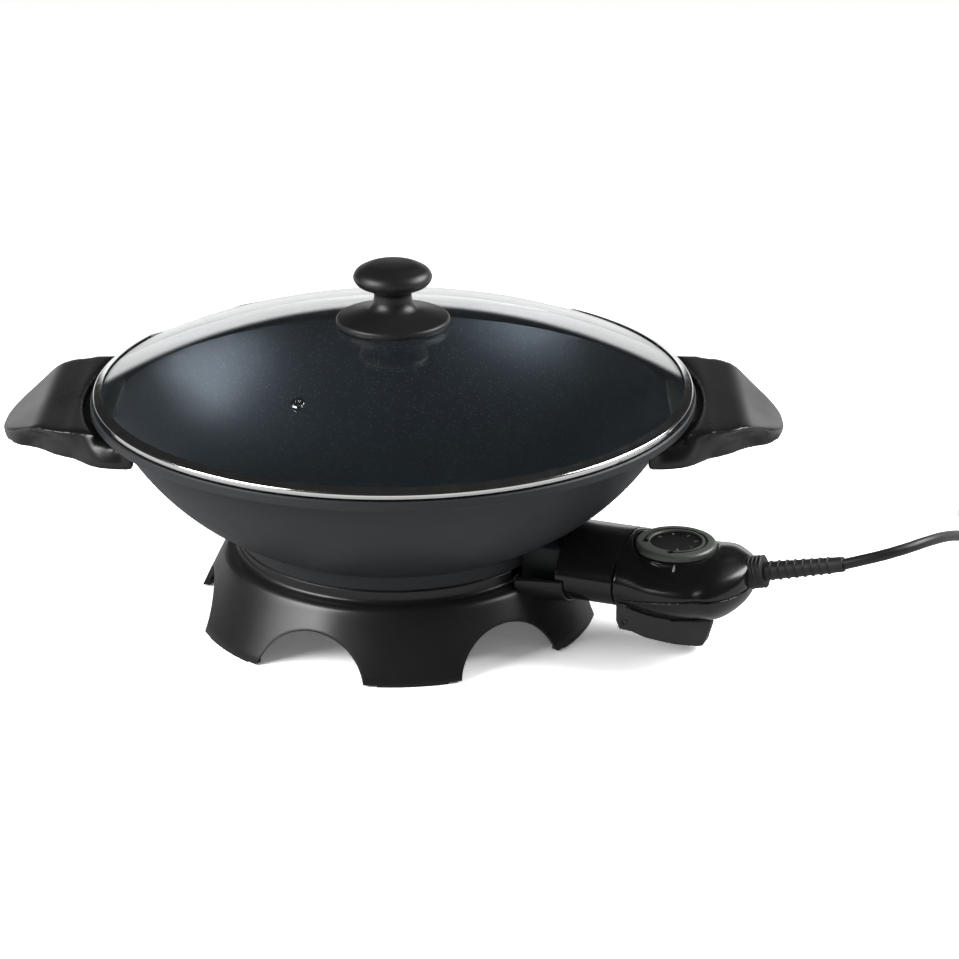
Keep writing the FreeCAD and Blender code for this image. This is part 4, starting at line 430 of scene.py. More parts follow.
def makeWorld():
    # white for the camera and through glass, plain for lighting; polish and glass mirror dark walls and a low
    # white backdrop
    world = bpy.data.worlds.new("studio")
    scene.world = world
    tree = clearTree(world)
    around = addNode(tree, "ShaderNodeTexCoord").outputs["Generated"]
    way = addNode(tree, "ShaderNodeSeparateXYZ", {"Vector": around})
    low, high = studio["backdropTop"]
    card = addNode(tree, "ShaderNodeMapRange", {
        "interpolation_type": "SMOOTHSTEP", "Value": way.outputs["Z"], "From Min": low, "From Max": high,
        "To Min": studio["backdrop"], "To Max": studio["worldGloss"]})
    low, high = studio["backdropSide"]
    side = addNode(tree, "ShaderNodeMapRange", {
        "interpolation_type": "SMOOTHSTEP", "Value": way.outputs["Y"], "From Min": low, "From Max": high})
    wall = addNode(tree, "ShaderNodeMix", {
        "Factor": side.outputs[0], 2: studio["worldGloss"], 3: card.outputs[0]})
    bounces = addNode(tree, "ShaderNodeLightPath").outputs["Glossy Depth"]
    mirrored = addNode(tree, "ShaderNodeMath", {"operation": "GREATER_THAN", 0: bounces, 1: 0.5})
    level = addNode(tree, "ShaderNodeMix", {
        "Factor": mirrored.outputs[0], 2: studio["worldDiffuse"], 3: wall.outputs[0]})
    clear = addNode(tree, "ShaderNodeMix", {"Factor": seenDirectly(tree), 2: level.outputs[0], 3: 1.0})
    light = addNode(tree, "ShaderNodeBackground", {"Color": (1, 1, 1, 1), "Strength": clear.outputs[0]})
    addNode(tree, "ShaderNodeOutputWorld", {"Surface": light.outputs[0]})


makeFloor()
makeWorld()

lamps = {  # round from X and height above the table in degrees, then distance, size and power
    "frontLeft": (-152, 30, 1.45, (0.9, 0.7), 26),
    "right": (11, 34, 1.45, (1.0, 0.65), 25),
}
lampTarget = Vector((0, 0, 0.08))
for lampName, (around, above, away, size, power) in lamps.items():
    way = Vector((1, 0, 0))
    way.rotate(Matrix.Rotation(math.radians(-above), 3, "Y"))
    way.rotate(Matrix.Rotation(math.radians(around), 3, "Z"))
    lamp = bpy.data.lights.new(lampName, "AREA")
    lamp.shape = "RECTANGLE"
    lamp.size, lamp.size_y = size
    lamp.energy = power
    lampObject = bpy.data.objects.new(lampName, lamp)
    scene.collection.objects.link(lampObject)
    lampObject.location = lampTarget + way * away
    lampObject.visible_camera = False
    lampObject.rotation_euler = (-way).to_track_quat("-Z", "Y").to_euler()
print("camera, floor and lamps set")

controlHeight = 47.5
tail = {"start": 226.0, "height": 54.6, "tilt": 14.0}  # the lead's straight start behind the control
lead = {
    "radius": 3.25, "bootTip": 58.7,
    "route": [(281.5, -105.6, 74.9), (299.5, -101.2, 78.4), (315.5, -87.5, 78.0), (329.0, -67.0, 72.2),
              (340.5, -42.0, 62.0), (350.0, -13.0, 49.0), (358.5, 18.0, 34.5), (366.8, 47.0, 20.5),
              (374.3, 73.0, 9.0), (380.4, 94.0, 3.4), (380.4, 114.0, 3.25)],
    "coil": (420.0, 140.0), "outer": 39.6, "inner": 33.1, "low": 3.25, "high": 9.75,
    "turns": 3.5, "perTurn": 18,
    # degrees travelled round the coil at which the lead goes to the inner ring, up a layer and out again
    "moveIn": (262, 340), "rise": (575, 622), "moveOut": (915, 970),
    "plugMouth": (459.6, 92.5, 9.75), "spurEnd": 114.0,
}


def coilPoint(travelled):
    # degrees travelled clockwise from the left side: outer low, inner low, inner high, outer high
    inwards = easeBetween(travelled, *lead["moveIn"]) - easeBetween(travelled, *lead["moveOut"])
    radius = lead["outer"] + (lead["inner"] - lead["outer"]) * inwards
    height = lead["low"] + (lead["high"] - lead["low"]) * easeBetween(travelled, *lead["rise"])
    angle = math.radians(180 - travelled)
    return (lead["coil"][0] + radius * math.cos(angle), lead["coil"][1] + radius * math.sin(angle), height)


def makeLead():
    tilt, turn = math.radians(tail["tilt"]), math.radians(controlTurn)
    reach = tail["start"] + lead["bootTip"] * math.cos(tilt)
    rise = tail["height"] + lead["bootTip"] * math.sin(tilt)
    leaves = (reach * math.cos(turn), reach * math.sin(turn), rise)
    points = [leaves] + lead["route"]
    step = 360 / lead["perTurn"]
    points += [coilPoint(step * i) for i in range(round(lead["turns"] * lead["perTurn"]) + 1)]
    x, y, z = lead["plugMouth"]
    points += [(x, lead["spurEnd"], z), (x, y, z)]
    curve = bpy.data.curves.new("lead", "CURVE")
    curve.dimensions = "3D"
    spline = curve.splines.new("NURBS")
    spline.points.add(len(points) - 1)
    for control, point in zip(spline.points, points):
        control.co = (*(c / metre for c in point), 1.0)
    spline.order_u = 3
    spline.use_endpoint_u = True
    spline.resolution_u = 8
    curve.bevel_depth = lead["radius"] / metre
    curve.bevel_resolution = 6
    curve.use_fill_caps = True
    curve.materials.append(finishes["cordSheath"])
    cord = bpy.data.objects.new("lead", curve)
    scene.collection.objects.link(cord)
    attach(cord, "control")
    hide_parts("cord", "cord_coil", "cord_tail")
    return cord, [c / metre for c in leaves]


leadCord, leadExit = makeLead()
print("lead laid")

pan = {
    "outline": [(0, 50.5), (61.75, 50.5), (61.75, 47.5), (65.75, 47.5), (70, 51.75, -4.25),
                (74.25, 47.5, -4.25), (78.25, 47.5), (78.25, 52.5), (92.4, 58), (92.4, 49.2), (95.6, 49.2),
                (96.4, 50), (97, 58.3), (170.2, 129.4, 149.1), (181.5, 134.6), (182.5, 135.6),
                (182.5, 139.7), (181.7, 140.5), (178.5, 140.5), (178, 139.9), (177.3, 137.8),
                (169.9, 131.8, -7.5), (168.6, 130.9, 1.4), (45, 54.5, -149), (0, 54.5)],
    "steps": 180, "arcStep": 1.6, "crease": 26,
    "coatedAbove": 53.9, "facingUp": 0.02, "nearlyLevel": 0.9,  # which faces carry the coating
    "lug": {"start": 166.2, "end": 203.0, "half": 36.0, "low": 127.0, "high": 133.0, "edge": 1.0},
    "boss": {"start": 92.0, "end": 117.0, "half": 26.0, "low": 40.0, "high": 63.0, "edge": 1.5},
}


def makePan():
    bm = turnedMesh(pan["outline"], pan["steps"], pan["arcStep"])
    for face in bm.faces:  # the inside and the lip's top carry the sprayed coating
        middle, way = face.calc_center_median(), face.normal
        inside = way.x * middle.x + way.y * middle.y < pan["facingUp"] or way.z > pan["nearlyLevel"]
        face.material_index = int(inside and middle.z > pan["coatedAbove"] and way.z > pan["facingUp"])
    addPiece("panBowl", bm, "wok", "castMatt", crease=pan["crease"], slot="nonstick_pan", replaces=("pan",),
             second="coating")
    lug = pan["lug"]
    for name, side in (("panLugLeft", -1), ("panLugRight", 1)):
        bm = bmesh.new()
        start, end = sorted((side * lug["start"], side * lug["end"]))
        box(bm, (start, -lug["half"], lug["low"]), (end, lug["half"], lug["high"]))
        soften(bm, lug["edge"])
        addPiece(name, bm, "wok", "castMatt", slot="nonstick_pan")
    boss = pan["boss"]
    bm = bmesh.new()
    box(bm, (boss["start"], -boss["half"], boss["low"]), (boss["end"], boss["half"], boss["high"]))
    soften(bm, boss["edge"])
    addPiece("panBoss", bm, "wok", "castMatt", turn=controlTurn, slot="nonstick_pan")


makePan()
print("pan made")

stand = {
    "profile": [(106.3, 38.2), (102.3, 41.2, 5.5), (99.4, 41.2), (96.4, 44.2, -3), (96.4, 48.4), (95.6, 49.2),
                (93.4, 49.2), (93.4, 41.2), (76, 41.2), (76, 37.7), (103, 37.7)],
    "skirtFoot": (124.6, 1.2), "innerFoot": (119.8, 4.2), "ledge": 116.6, "slope": 0.4948,
    "feet": 6, "archRadius": 37.65, "archCentre": -11.65, "archFirst": -54.0, "archSteps": 32,
    "archRounds": 12, "footSteps": 12, "cornerGap": 0.003,  # radians between an arch's end and its foot
    "rows": 8, "outlineStep": 10, "bore": (36.3, 21.6), "boreRun": (88, 132),
    "edge": (0.7, 2, 40),  # width, segments, and the angle from which an edge is rounded
    "ledgeParts": (0.35, 0.7),  # where the ledge's two edges meet an arch's face, from inside to outside
    "ledgeFade": 5,  # how quickly the ledge grows from nothing at a foot's corner
    "near": 0.4,  # a vertex this close to a wall is on it
    "padShare": 0.84,  # length of the rubber pads, as a share of the plain ones
}
spout = {"sections": [(94, 44.3, 25.6), (108, 40.5, 24.4), (122, 38.1, 23.4)], "top": 47.2,
         "edge": (0.8, 3, 40)}
sectorAngle = 360 / stand["feet"]  # degrees for one arch and one foot


def archAt(radius, low, turn):
    # height of the arch at an angle from its middle, on a wall whose radius shrinks upwards
    height = low
    for _ in range(stand["archRounds"]):
        side = (radius - stand["slope"] * (height - low)) * math.sin(turn)
        reach = stand["archRadius"] ** 2 - side ** 2
        height = max(low, stand["archCentre"] + math.sqrt(reach)) if reach > 0 else low
    return height


def standColumns():
    # angles from an arch's middle through one arch and one foot, spaced evenly along the arch's curve
    radius, low = stand["skirtFoot"]
    edge = math.acos((low - stand["archCentre"]) / stand["archRadius"])
    turns = []
    for i in range(stand["archSteps"] + 1):
        around = edge * (2 * i / stand["archSteps"] - 1)
        rise = stand["archCentre"] + stand["archRadius"] * math.cos(around) - low
        turns.append(math.asin(stand["archRadius"] * math.sin(around) / (radius - stand["slope"] * rise)))
    start = turns[-1] + stand["cornerGap"]
    foot = math.radians(sectorAngle) - 2 * start
    return turns + [start + foot * i / stand["footSteps"] for i in range(stand["footSteps"] + 1)]


def liftOverArch(radius, height, turn):
    # raise the wall's lower part over an arch; the rows above are spread between the arch and the wall's top
    near, slope = stand["near"], stand["slope"]
    outerRadius, low = stand["skirtFoot"]
    innerRadius, ledgeTop = stand["innerFoot"]
    (topRadius, top), (innerTopRadius, innerTop) = stand["profile"][0], stand["profile"][-1]
    if height > top - near and radius < topRadius + near:
        return radius, height
    outerBase = archAt(outerRadius, low, turn)
    if abs(radius - (outerRadius - slope * (height - low))) < near:
        lifted = outerBase + (top - outerBase) * (height - low) / (top - low)
        return outerRadius - slope * (lifted - low), lifted
    innerSlope = (innerRadius - innerTopRadius) / (innerTop - ledgeTop)
    innerLow = innerRadius + innerSlope * (ledgeTop - low)
    innerBase = archAt(innerLow, low, turn)
    if height > ledgeTop + near or (height > ledgeTop - near and radius > stand["ledge"] + near):
        lifted = innerBase + (innerTop - innerBase) * (height - ledgeTop) / (innerTop - ledgeTop)
        return innerLow - innerSlope * (lifted - low), lifted
    # what is left is the ledge, which comes to lie in the arch's own face
    upper, lower = stand["ledgeParts"]
    part = upper if height > low + near else lower
    outerAt, innerAt = outerRadius - slope * (outerBase - low), innerLow - innerSlope * (innerBase - low)
    return innerAt + (outerAt - innerAt) * part, innerBase + (outerBase - innerBase) * part


def partWay(one, two, share):
    return (one[0] + (two[0] - one[0]) * share, one[1] + (two[1] - one[1]) * share)


def makeStandRing():
    # a plain ring in even columns, which are then moved to the arches and the feet
    turns = standColumns()
    innerRadius, ledgeTop = stand["innerFoot"]
    rows, near = stand["rows"], stand["near"]
    top, inner = stand["profile"][0], stand["profile"][-1]
    outline = [partWay(stand["skirtFoot"], top, i / rows) for i in range(rows)]
    outline += stand["profile"]
    outline += [partWay(inner, stand["innerFoot"], i / rows) for i in range(1, rows + 1)]
    outline += [(stand["ledge"], ledgeTop), (stand["ledge"], stand["skirtFoot"][1])]
    bm = bmesh.new()
    drawOutline(bm, outline, stand["outlineStep"])
    count = stand["feet"] * len(turns)
    turnRound(bm, count)
    bmesh.ops.remove_doubles(bm, verts=bm.verts, dist=weldGap)
    for vert in bm.verts:
        radius, height = vert.co.xy.length, vert.co.z
        column = round(math.atan2(vert.co.y, vert.co.x) / (math.tau / count)) % count
        sector, index = divmod(column, len(turns))
        if index <= stand["archSteps"]:
            radius, height = liftOverArch(radius, height, turns[index])
        elif radius < innerRadius - near and height < ledgeTop + near:
            # the ledge narrows to nothing at the foot's corners
            share = (index - stand["archSteps"] - 1) / stand["footSteps"]
            radius = innerRadius - (innerRadius - radius) * min(1.0, stand["ledgeFade"] * share * (1 - share))
        around = math.radians(stand["archFirst"] + sectorAngle * sector) + turns[index]
        vert.co = (radius * math.cos(around), radius * math.sin(around), height)
    cleanUp(bm, mergeGap)
    rotate(bm, -controlTurn)
    soften(bm, *stand["edge"])
    ring = addPiece("standRing", bm, "wok", "pbtSatin", turn=controlTurn, crease=40, slot="stand_plastic",
                    replaces=("stand",))
    cutter = bmesh.new()
    rings = [ovalRing(cutter, along, *stand["bore"], controlHeight) for along in stand["boreRun"]]
    bridgeRings(cutter, rings)
    for end in rings:
        bmesh.ops.contextual_create(cutter, geom=end)
    cutWith(ring, cutter, controlTurn)


def makeSpout():
    # the trough that carries the socket, a wide oval tube with its top sliced off
    bm = bmesh.new()
    outer = [ovalRing(bm, *section, controlHeight) for section in spout["sections"]]
    bore = [ovalRing(bm, section[0], *stand["bore"], controlHeight) for section in spout["sections"]]
    bridgeRings(bm, outer + bore[::-1] + outer[:1])
    bmesh.ops.bisect_plane(bm, geom=bm.verts[:] + bm.edges[:] + bm.faces[:], plane_co=(0, 0, spout["top"]),
                           plane_no=(0, 0, 1), clear_outer=True)
    bmesh.ops.holes_fill(bm, edges=[e for e in bm.edges if e.is_boundary])
    bmesh.ops.recalc_face_normals(bm, faces=bm.faces)
    soften(bm, *spout["edge"])
    addPiece("standSpout", bm, "wok", "pbtSatin", turn=controlTurn, crease=40, slot="stand_plastic")


def makePads():
    # rubber pads under the feet, ending a little short of the feet's corners
    bm = mergedCopy("foot_pads")
    sector = math.radians(sectorAngle)
    first = math.radians(stand["archFirst"]) + sector / 2
    for vert in bm.verts:
        around, radius = math.atan2(vert.co.y, vert.co.x), vert.co.xy.length
        middle = first + sector * round((around - first) / sector)
        turn = middle + (around - middle) * stand["padShare"]
        vert.co.xy = (radius * math.cos(turn), radius * math.sin(turn))
    addPiece("footPads", bm, "wok", "rubber", slot="foot_rubber", replaces=("foot_pads",))


makeStandRing()
makeSpout()
makePads()
print("stand made")

lid = {
    "glass": [(3.5, 183.7), (178.4, 144.6, -426.4), (178.4, 141.4), (177.7, 141.4), (3.5, 180.5, 423.2)],
    "rim": [(176, 140.8), (180, 140.8), (181, 141.8, 1.2), (181, 143.8), (179.4, 145.2, 1.8), (175.6, 146.9),
            (175.4, 146.3), (178.5, 144.7), (178.5, 141.3), (176, 141.3)],
    "flange": [(2.8, 190.36), (2.8, 183.86), (33.1, 182.58, -426.55), (34.3, 183.78, 1.4), (34.3, 185.18),
               (32.3, 187.18, 2), (16, 191.6, 160), (11.7, 197.2, -8), (8, 197.2), (8, 190.36)],
    "knob": [(0, 190.36), (7.8, 190.36), (7.8, 197.3), (11.7, 197.3), (11.2, 201.6, -30), (13.8, 203.9, -3.2),
             (19, 206.4), (23.7, 211.8, 6.6), (19.4, 217.3, 7), (11.7, 220.2, 22), (0, 220.2)],
}


def makeLid():
    bm = turnedMesh(lid["glass"], steps=240, arcStep=0.5)
    addPiece("lidGlass", bm, "lid", "glass", slot="lid_glass", replaces=("lid_glass",))
    bm = turnedMesh(lid["rim"], steps=240, arcStep=12)
    addPiece("lidRim", bm, "lid", "steelPolished", crease=50, slot="lid_steel", replaces=("lid_rim",))
    for name, outline, node in (("lidFlange", "flange", "knob_flange"), ("lidKnob", "knob", "lid_knob")):
        bm = turnedMesh(lid[outline], steps=120, arcStep=6)
        addPiece(name, bm, "lid", "phenolicDull", crease=50, slot="knob_plastic", replaces=(node,))


makeLid()
print("lid made")

handle = {
    "low": 118.0, "voxel": 1.1, "rounds": 18,
    "flankFrom": 0.5, "flankTo": 1.04,  # shares of the half width between which the flare sets in
    # reach, half width and top of the plain solid, half width below, half width above, top
    "stations": [(150, 80, 138.4, 80, 72, 138), (165, 74.6, 138.4, 79, 70, 138),
                 (175, 69.7, 138.4, 75, 69, 138), (186, 63, 138.4, 63.5, 69, 138.1),
                 (198, 53.7, 137.6, 51, 66.5, 138.2),
                 (205, 47, 138.1, 44, 64, 138.3), (210, 43.6, 139.4, 41, 60.5, 137.2),
                 (216, 39.5, 137.6, 40, 51, 133.6), (224, 32.3, 133.4, 37, 38, 128.6),
                 (233, 18.3, 127, 22, 21.5, 123), (236.4, 6.4, 124, 8, 8, 120.8)],
}


def handleAt(reach):
    # the stations' values at one reach, on a smooth curve through them
    stations = handle["stations"]
    reach = min(max(reach, stations[0][0]), stations[-1][0])
    at = next(i for i in range(1, len(stations)) if reach <= stations[i][0])
    one, two = stations[at - 1], stations[at]
    before, after = stations[max(0, at - 2)], stations[min(len(stations) - 1, at + 1)]
    span = two[0] - one[0]
    t = (reach - one[0]) / span
    values = []
    for i in range(1, len(one)):
        startSlope = (two[i] - before[i]) / (two[0] - before[0]) * span
        endSlope = (after[i] - one[i]) / (after[0] - one[0]) * span
        values.append(one[i] + (two[i] - one[i]) * t * t * (3 - 2 * t)
                      + startSlope * t * (1 - t) ** 2 - endSlope * t * t * (1 - t))
    return values


def flareHandle(bm):
    # the top edge stands out past the underside and falls away towards the tip
    low = handle["low"]
    for vert in bm.verts:
        plain, plainTop, below, above, top = handleAt(abs(vert.co.x))
        up = min(1.0, max(0.0, (vert.co.z - low) / (plainTop - low)))
        flank = easeBetween(abs(vert.co.y) / plain, handle["flankFrom"], handle["flankTo"])
        wanted = below + (above - below) * up * up
        vert.co.y += math.copysign((wanted - plain) * flank, vert.co.y)
        vert.co.z += (top - plainTop) * up * up


for name, node in (("handleRight", "handle_right"), ("handleLeft", "handle_left")):
    softCopy(name, node, handle["voxel"], handle["rounds"], "wok", "phenolicSatin", "handle_plastic",
             flareHandle)

bulb = {
    "height": 49.5, "swellIn": (200, 215), "swellOut": (228, 242), "swell": 0.105,
    "droopRun": (203, 226), "droop": 3.0, "shoulderIn": (164, 176), "shoulderOut": (200, 212),
    "shoulderHalf": 37.5, "shoulderFrom": 0.64, "shoulderRise": 15, "shoulderFall": 3.6,
}


def swellBulb(bm):
    # the control is fullest and hangs a little just before the lead's collar, and its shoulders fall away
    rotate(bm, -controlTurn)
    for vert in bm.verts:
        along, out = vert.co.x, abs(vert.co.y) / bulb["shoulderHalf"]
        above = min(1.0, max(0.0, vert.co.z - bulb["height"]) / bulb["shoulderRise"])
        shoulder = easeBetween(along, *bulb["shoulderIn"]) - easeBetween(along, *bulb["shoulderOut"])
        vert.co.z -= bulb["shoulderFall"] * shoulder * easeBetween(out, bulb["shoulderFrom"], 1.0) * above
        share = easeBetween(along, *bulb["swellIn"]) - easeBetween(along, *bulb["swellOut"])
        grow = 1 + bulb["swell"] * share
        vert.co.y *= grow
        vert.co.z = bulb["height"] + (vert.co.z - bulb["height"]) * grow
        vert.co.z -= bulb["droop"] * easeBetween(along, *bulb["droopRun"])
    rotate(bm, controlTurn)


softCopy("controlTopShell", "control_top", voxel=0.65, rounds=8, body="control", finish="absGloss",
         slot="shell_plastic", reshape=swellBulb)
softCopy("controlBottomShell", "control_bottom", voxel=0.65, rounds=4, body="control", finish="absGloss",
         slot="shell_plastic", reshape=swellBulb)
softCopy("leverShell", "release_lever", voxel=0.5, rounds=1, body="release_lever", finish="absMatt",
         slot="lever_plastic")

skirt = {"run": (160, 192), "heights": (18.8, 33), "wall": 1.4, "half": 24.8, "slope": 0.571,
         "edge": (0.3, 2)}


def makeLeverSkirt():
    # two ribs under the control, inside the lever's walls, that close the gap above the lever
    start, end = skirt["run"]
    low, high = skirt["heights"]
    bm = bmesh.new()
    for side in (-1, 1):
        for vert in box(bm, (start, 0, low), (end, skirt["wall"], high)):
            outer = skirt["half"] - skirt["slope"] * (vert.co.x - start)
            vert.co.y = side * (outer - vert.co.y)
    bmesh.ops.recalc_face_normals(bm, faces=bm.faces)
    soften(bm, *skirt["edge"])
    addPiece("controlSkirt", bm, "control", "absMatt", turn=controlTurn, slot="shell_plastic")


makeLeverSkirt()


def makeSpring():
    # the lever's return spring, carried whole by the control; on the real control the lever squeezes it
    piece = addPiece("leverSpring", mergedCopy("lever_spring"), "control", "steelPolished",
                     slot="spring_steel", replaces=("lever_spring",))
    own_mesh(piece)


makeSpring()
print("handles and control made")

dial = {
    "place": 180.5, "steps": 120, "arcStep": 12,
    "ring": [(13, 64.2), (24.2, 64.2), (24.5, 64.5), (24.4, 66.2), (22.2, 68.4, 2.6), (16, 68.4),
             (15.4, 67.8), (15.4, 65.4), (13, 65.4)],
    "ribs": 120, "ribDepth": 0.4, "ribFrom": 24.1, "ribTop": 66.6,
    "face": [(0, 65.4), (15.2, 65.4), (15.2, 67.2), (14.9, 67.5), (0, 67.5)],
}
groove = {
    "radius": 18.3, "half": 0.75, "end": 2.1, "endSides": 32, "from": -83, "to": 201, "steps": 90,
    "cut": (67.7, 69), "endCut": (67.7, 70.3), "fill": (66.5, 67.95), "endFill": (66.55, 67.95),  # heights
}
number = {"texts": ("0", "1", "2", "3", "4", "5"), "size": 3.1, "thick": 0.03, "radius": 12.0, "step": 46,
          "height": 67.52}
pointer = {"along": 187.3, "across": -25.6, "wide": 0.85, "long": 1.6, "taper": 0.75, "curve": 1.5,
           "sides": 28, "above": 90, "thick": 0.06}


def addDialPiece(name, bm, finish, **facts):
    bmesh.ops.translate(bm, verts=bm.verts, vec=(dial["place"], 0, 0))
    return addPiece(name, bm, "dial", finish, turn=controlTurn, crease=40, **facts)


def grooveChannel(bm, low, high):
    # part of a ring round the dial
    start, sweep = math.radians(groove["from"]), math.radians(groove["to"] - groove["from"])
    inner, outer = groove["radius"] - groove["half"], groove["radius"] + groove["half"]
    corners = [(inner, low), (outer, low), (outer, high), (inner, high)]
    ring = [bm.verts.new((radius * math.cos(start), radius * math.sin(start), z)) for radius, z in corners]
    face = bm.faces.new(ring)
    bmesh.ops.spin(bm, geom=[face] + face.edges[:] + ring, cent=(0, 0, 0), axis=(0, 0, 1), angle=sweep,
                   steps=groove["steps"])


def grooveEnd(bm, degrees, low, high):
    # the round end of the channel
    angle = math.radians(degrees)
    middle = (groove["radius"] * math.cos(angle), groove["radius"] * math.sin(angle), (low + high) / 2)
    bmesh.ops.create_cone(bm, cap_ends=True, segments=groove["endSides"], radius1=groove["end"],
                          radius2=groove["end"], depth=high - low, matrix=Matrix.Translation(middle))


def cutFromDial(ring, cutter):
    bmesh.ops.translate(cutter, verts=cutter.verts, vec=(dial["place"], 0, 0))
    cutWith(ring, cutter, controlTurn)


def makeDial():
    bm = turnedMesh(dial["ring"], 2 * dial["ribs"], dial["arcStep"])
    for vert in bm.verts:  # fine ribs round the side
        column = round(math.atan2(vert.co.y, vert.co.x) / (math.tau / (2 * dial["ribs"])))
        if column % 2 and vert.co.xy.length > dial["ribFrom"] and vert.co.z < dial["ribTop"]:
            vert.co.xy *= 1 - dial["ribDepth"] / vert.co.xy.length
    ring = addDialPiece("dialRing", bm, "dialGrey", slot="dial_ring_plastic", replaces=("dial_ring",))
    bm = turnedMesh(dial["face"], dial["steps"], dial["arcStep"])
    addDialPiece("dialFace", bm, "dialBlack", slot="dial_face_plastic", replaces=("dial_face",))
    cutter = bmesh.new()
    grooveChannel(cutter, *groove["cut"])
    cutFromDial(ring, cutter)
    for degrees in (groove["from"], groove["to"]):
        cutter = bmesh.new()
        grooveEnd(cutter, degrees, *groove["endCut"])
        cutFromDial(ring, cutter)
    bm = bmesh.new()  # the groove's black floor, in three pieces
    grooveChannel(bm, *groove["fill"])
    bmesh.ops.recalc_face_normals(bm, faces=bm.faces)
    addDialPiece("dialGroove1", bm, "dialBlack", slot="dial_face_plastic")
    for name, degrees in (("dialGroove2", groove["from"]), ("dialGroove3", groove["to"])):
        bm = bmesh.new()
        grooveEnd(bm, degrees, *groove["endFill"])
        bmesh.ops.recalc_face_normals(bm, faces=bm.faces)
        addDialPiece(name, bm, "dialBlack", slot="dial_face_plastic")


def makeNumbers():
    # plain numbers printed round the face, the first at the front
    for index, text in enumerate(number["texts"]):
        degrees = -90 - controlTurn + number["step"] * index
        curve = bpy.data.curves.new("number", "FONT")
        curve.body = text
        curve.size = number["size"]
        curve.extrude = number["thick"]
        curve.align_x = curve.align_y = "CENTER"
        holder = bpy.data.objects.new("number", curve)
        scene.collection.objects.link(holder)
        bm = bmesh.new()
        bm.from_mesh(appliedMesh(holder))
        bpy.data.objects.remove(holder)
        bmesh.ops.translate(bm, verts=bm.verts, vec=(0, -number["radius"], number["height"]))
        rotate(bm, degrees + 90)
        addDialPiece(f"dialNumber{text}", bm, "ink")


def makePointer():
    # a small drop printed on the shell in front of the dial
    bm = bmesh.new()
    bmesh.ops.create_circle(bm, cap_ends=True, radius=1.0, segments=pointer["sides"])
    for vert in bm.verts:
        wide = pointer["wide"] * (1 - pointer["taper"] * max(0.0, vert.co.y) ** pointer["curve"])
        vert.co = (pointer["along"] + vert.co.x * wide, pointer["across"] + vert.co.y * pointer["long"],
                   pointer["above"])
    rotate(bm, controlTurn)
    shell = bpy.data.objects["controlTopShell"]
    for vert in bm.verts:
        place = shell.ray_cast(vert.co / metre, Vector((0, 0, -1)))[1]
        vert.co.z = place.z * metre + pointer["thick"]
    addPiece("dialPointer", bm, "control", "ink", crease=40)


makeDial()
makeNumbers()
makePointer()
print("dial made")

collar = {"mouth": 5.8, "radius": 9.5, "start": -2, "end": 10.2, "edge": (0.6, 0.65),
          "beads": (2.2, 2.4, 4, 0.55)}
boot = {"root": 5.7, "tip": 4.5, "start": -6, "plain": 8, "edge": (0.8, 0.85), "beads": (14.3, 5.0, 8, 0.75)}
relief = {"steps": 96, "arcStep": 15, "beadRound": 1.02}


def beadsOn(places, radiusAt):
    # raised rings: the first one's place, their spacing, their number and half the width of one
    first, step, count, half = places
    outline = []
    for i in range(count):
        middle = first + step * i
        radius = radiusAt(middle)
        outline += [(radius, middle - half), (radius, middle + half, half * relief["beadRound"])]
    return outline


def addTailPiece(name, outline, slot, node):
    # turned about Z, and then laid on the lead's axis behind the control
    bm = turnedMesh(outline, relief["steps"], relief["arcStep"])
    rotate(bm, 90 - tail["tilt"], "Y")
    bmesh.ops.translate(bm, verts=bm.verts, vec=(tail["start"], 0, tail["height"]))
    addPiece(name, bm, "control", "rubber", turn=controlTurn, crease=50, slot=slot, replaces=(node,))


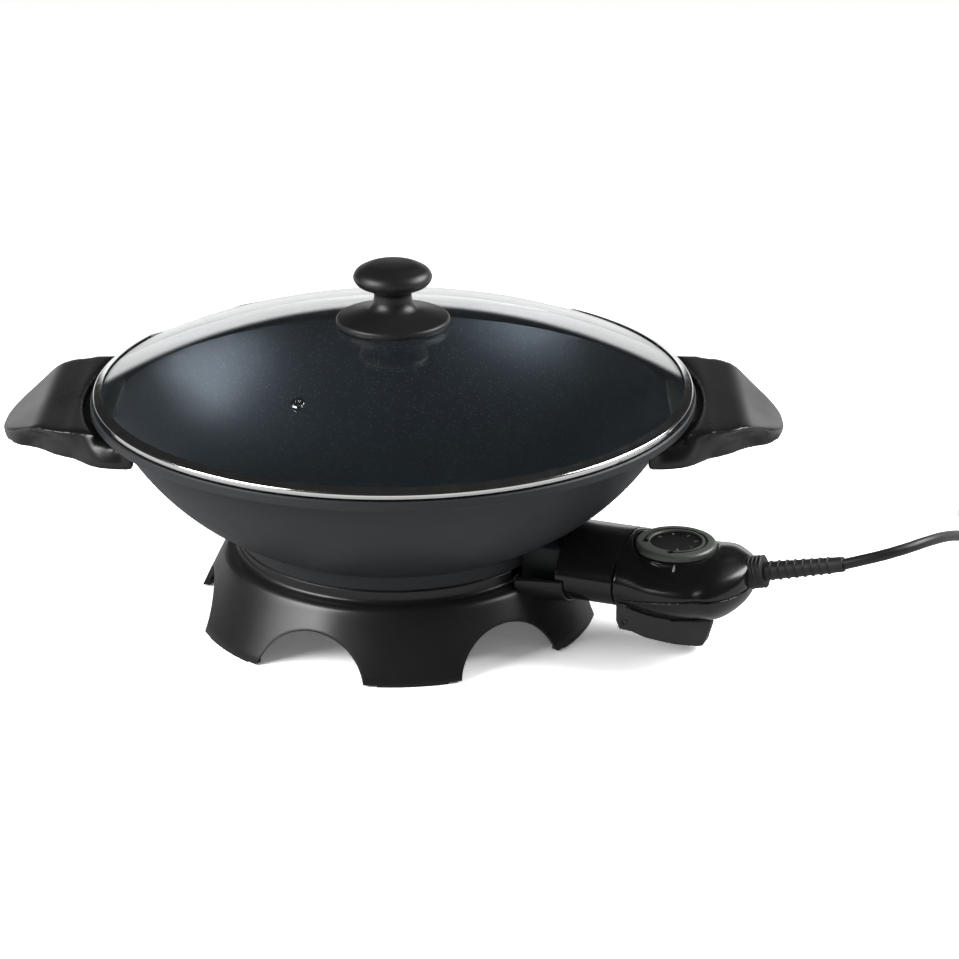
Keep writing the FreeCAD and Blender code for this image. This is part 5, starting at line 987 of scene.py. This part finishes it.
def makeRelief():
    edge, edgeRound = collar["edge"]
    outline = [(collar["mouth"], collar["start"]), (collar["radius"], collar["start"])]
    outline += beadsOn(collar["beads"], lambda middle: collar["radius"])
    outline += [(collar["radius"], collar["end"] - edge), (collar["radius"] - edge, collar["end"], edgeRound),
                (collar["mouth"], collar["end"])]
    addTailPiece("leadCollar", outline, "collar_rubber", "cord_collar")
    edge, edgeRound = boot["edge"]
    root, tip, end = boot["root"], boot["tip"], lead["bootTip"]
    outline = [(0, boot["start"]), (root, boot["start"]), (root, boot["plain"])]
    outline += beadsOn(boot["beads"], lambda middle: root + (tip - root) * middle / end)
    outline += [(tip, end - edge), (tip - edge, end, edgeRound), (0, end)]
    addTailPiece("leadBoot", outline, "boot_rubber", "cord_boot")


makeRelief()
edgedCopy("socketSleeve", "socket_sleeve", 0.5, "wok", "absGloss", "sleeve_plastic", segments=3, limit=60)
plugBody = softCopy("plugBody", "plug_body", voxel=0.6, rounds=3, body="control", finish="rubber",
                    slot="plug_moulding")
plugPins = edgedCopy("plugPins", "plug_pins", 0.25, "control", "brassStamped", "plug_brass")
leadTie = edgedCopy("leadTie", "coil_tie", 0.2, "control", "polyamide", "tie_plastic")
print("relief, sleeve, tie and plug made")

keptFinish = {  # nodes that keep their CAD shape
    "heating_element": "heatSheath", "terminal_pins": "zincPlated", "heat_shield": "sheetSteel",
    "stand_screws": "zincPlated", "socket_screws": "zincPlated", "earth_blade": "brassStamped",
    "control_screws": "blackOxide", "connector_nose": "absMatt", "contact_tubes": "brassStamped",
    "probe_rod": "steelPolished", "thermostat_frame": "zincPlated", "blade_stack": "steatite",
    "bimetal_blade": "sheetSteel", "contact_blade": "brassStamped", "lead_wires": "braid",
    "cord_clamp": "polyamide", "dial_shaft": "polyamide", "lever_pin": "absMatt",
    "handle_screws": "zincPlated", "steam_vent": "steelPolished", "knob_washer": "rubber",
    "knob_screw": "zincPlated",
}
for nodeName, finish in keptFinish.items():
    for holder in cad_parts[nodeName].material_slots:
        holder.material = finishes[finish]
print("kept nodes finished:", len(keptFinish))
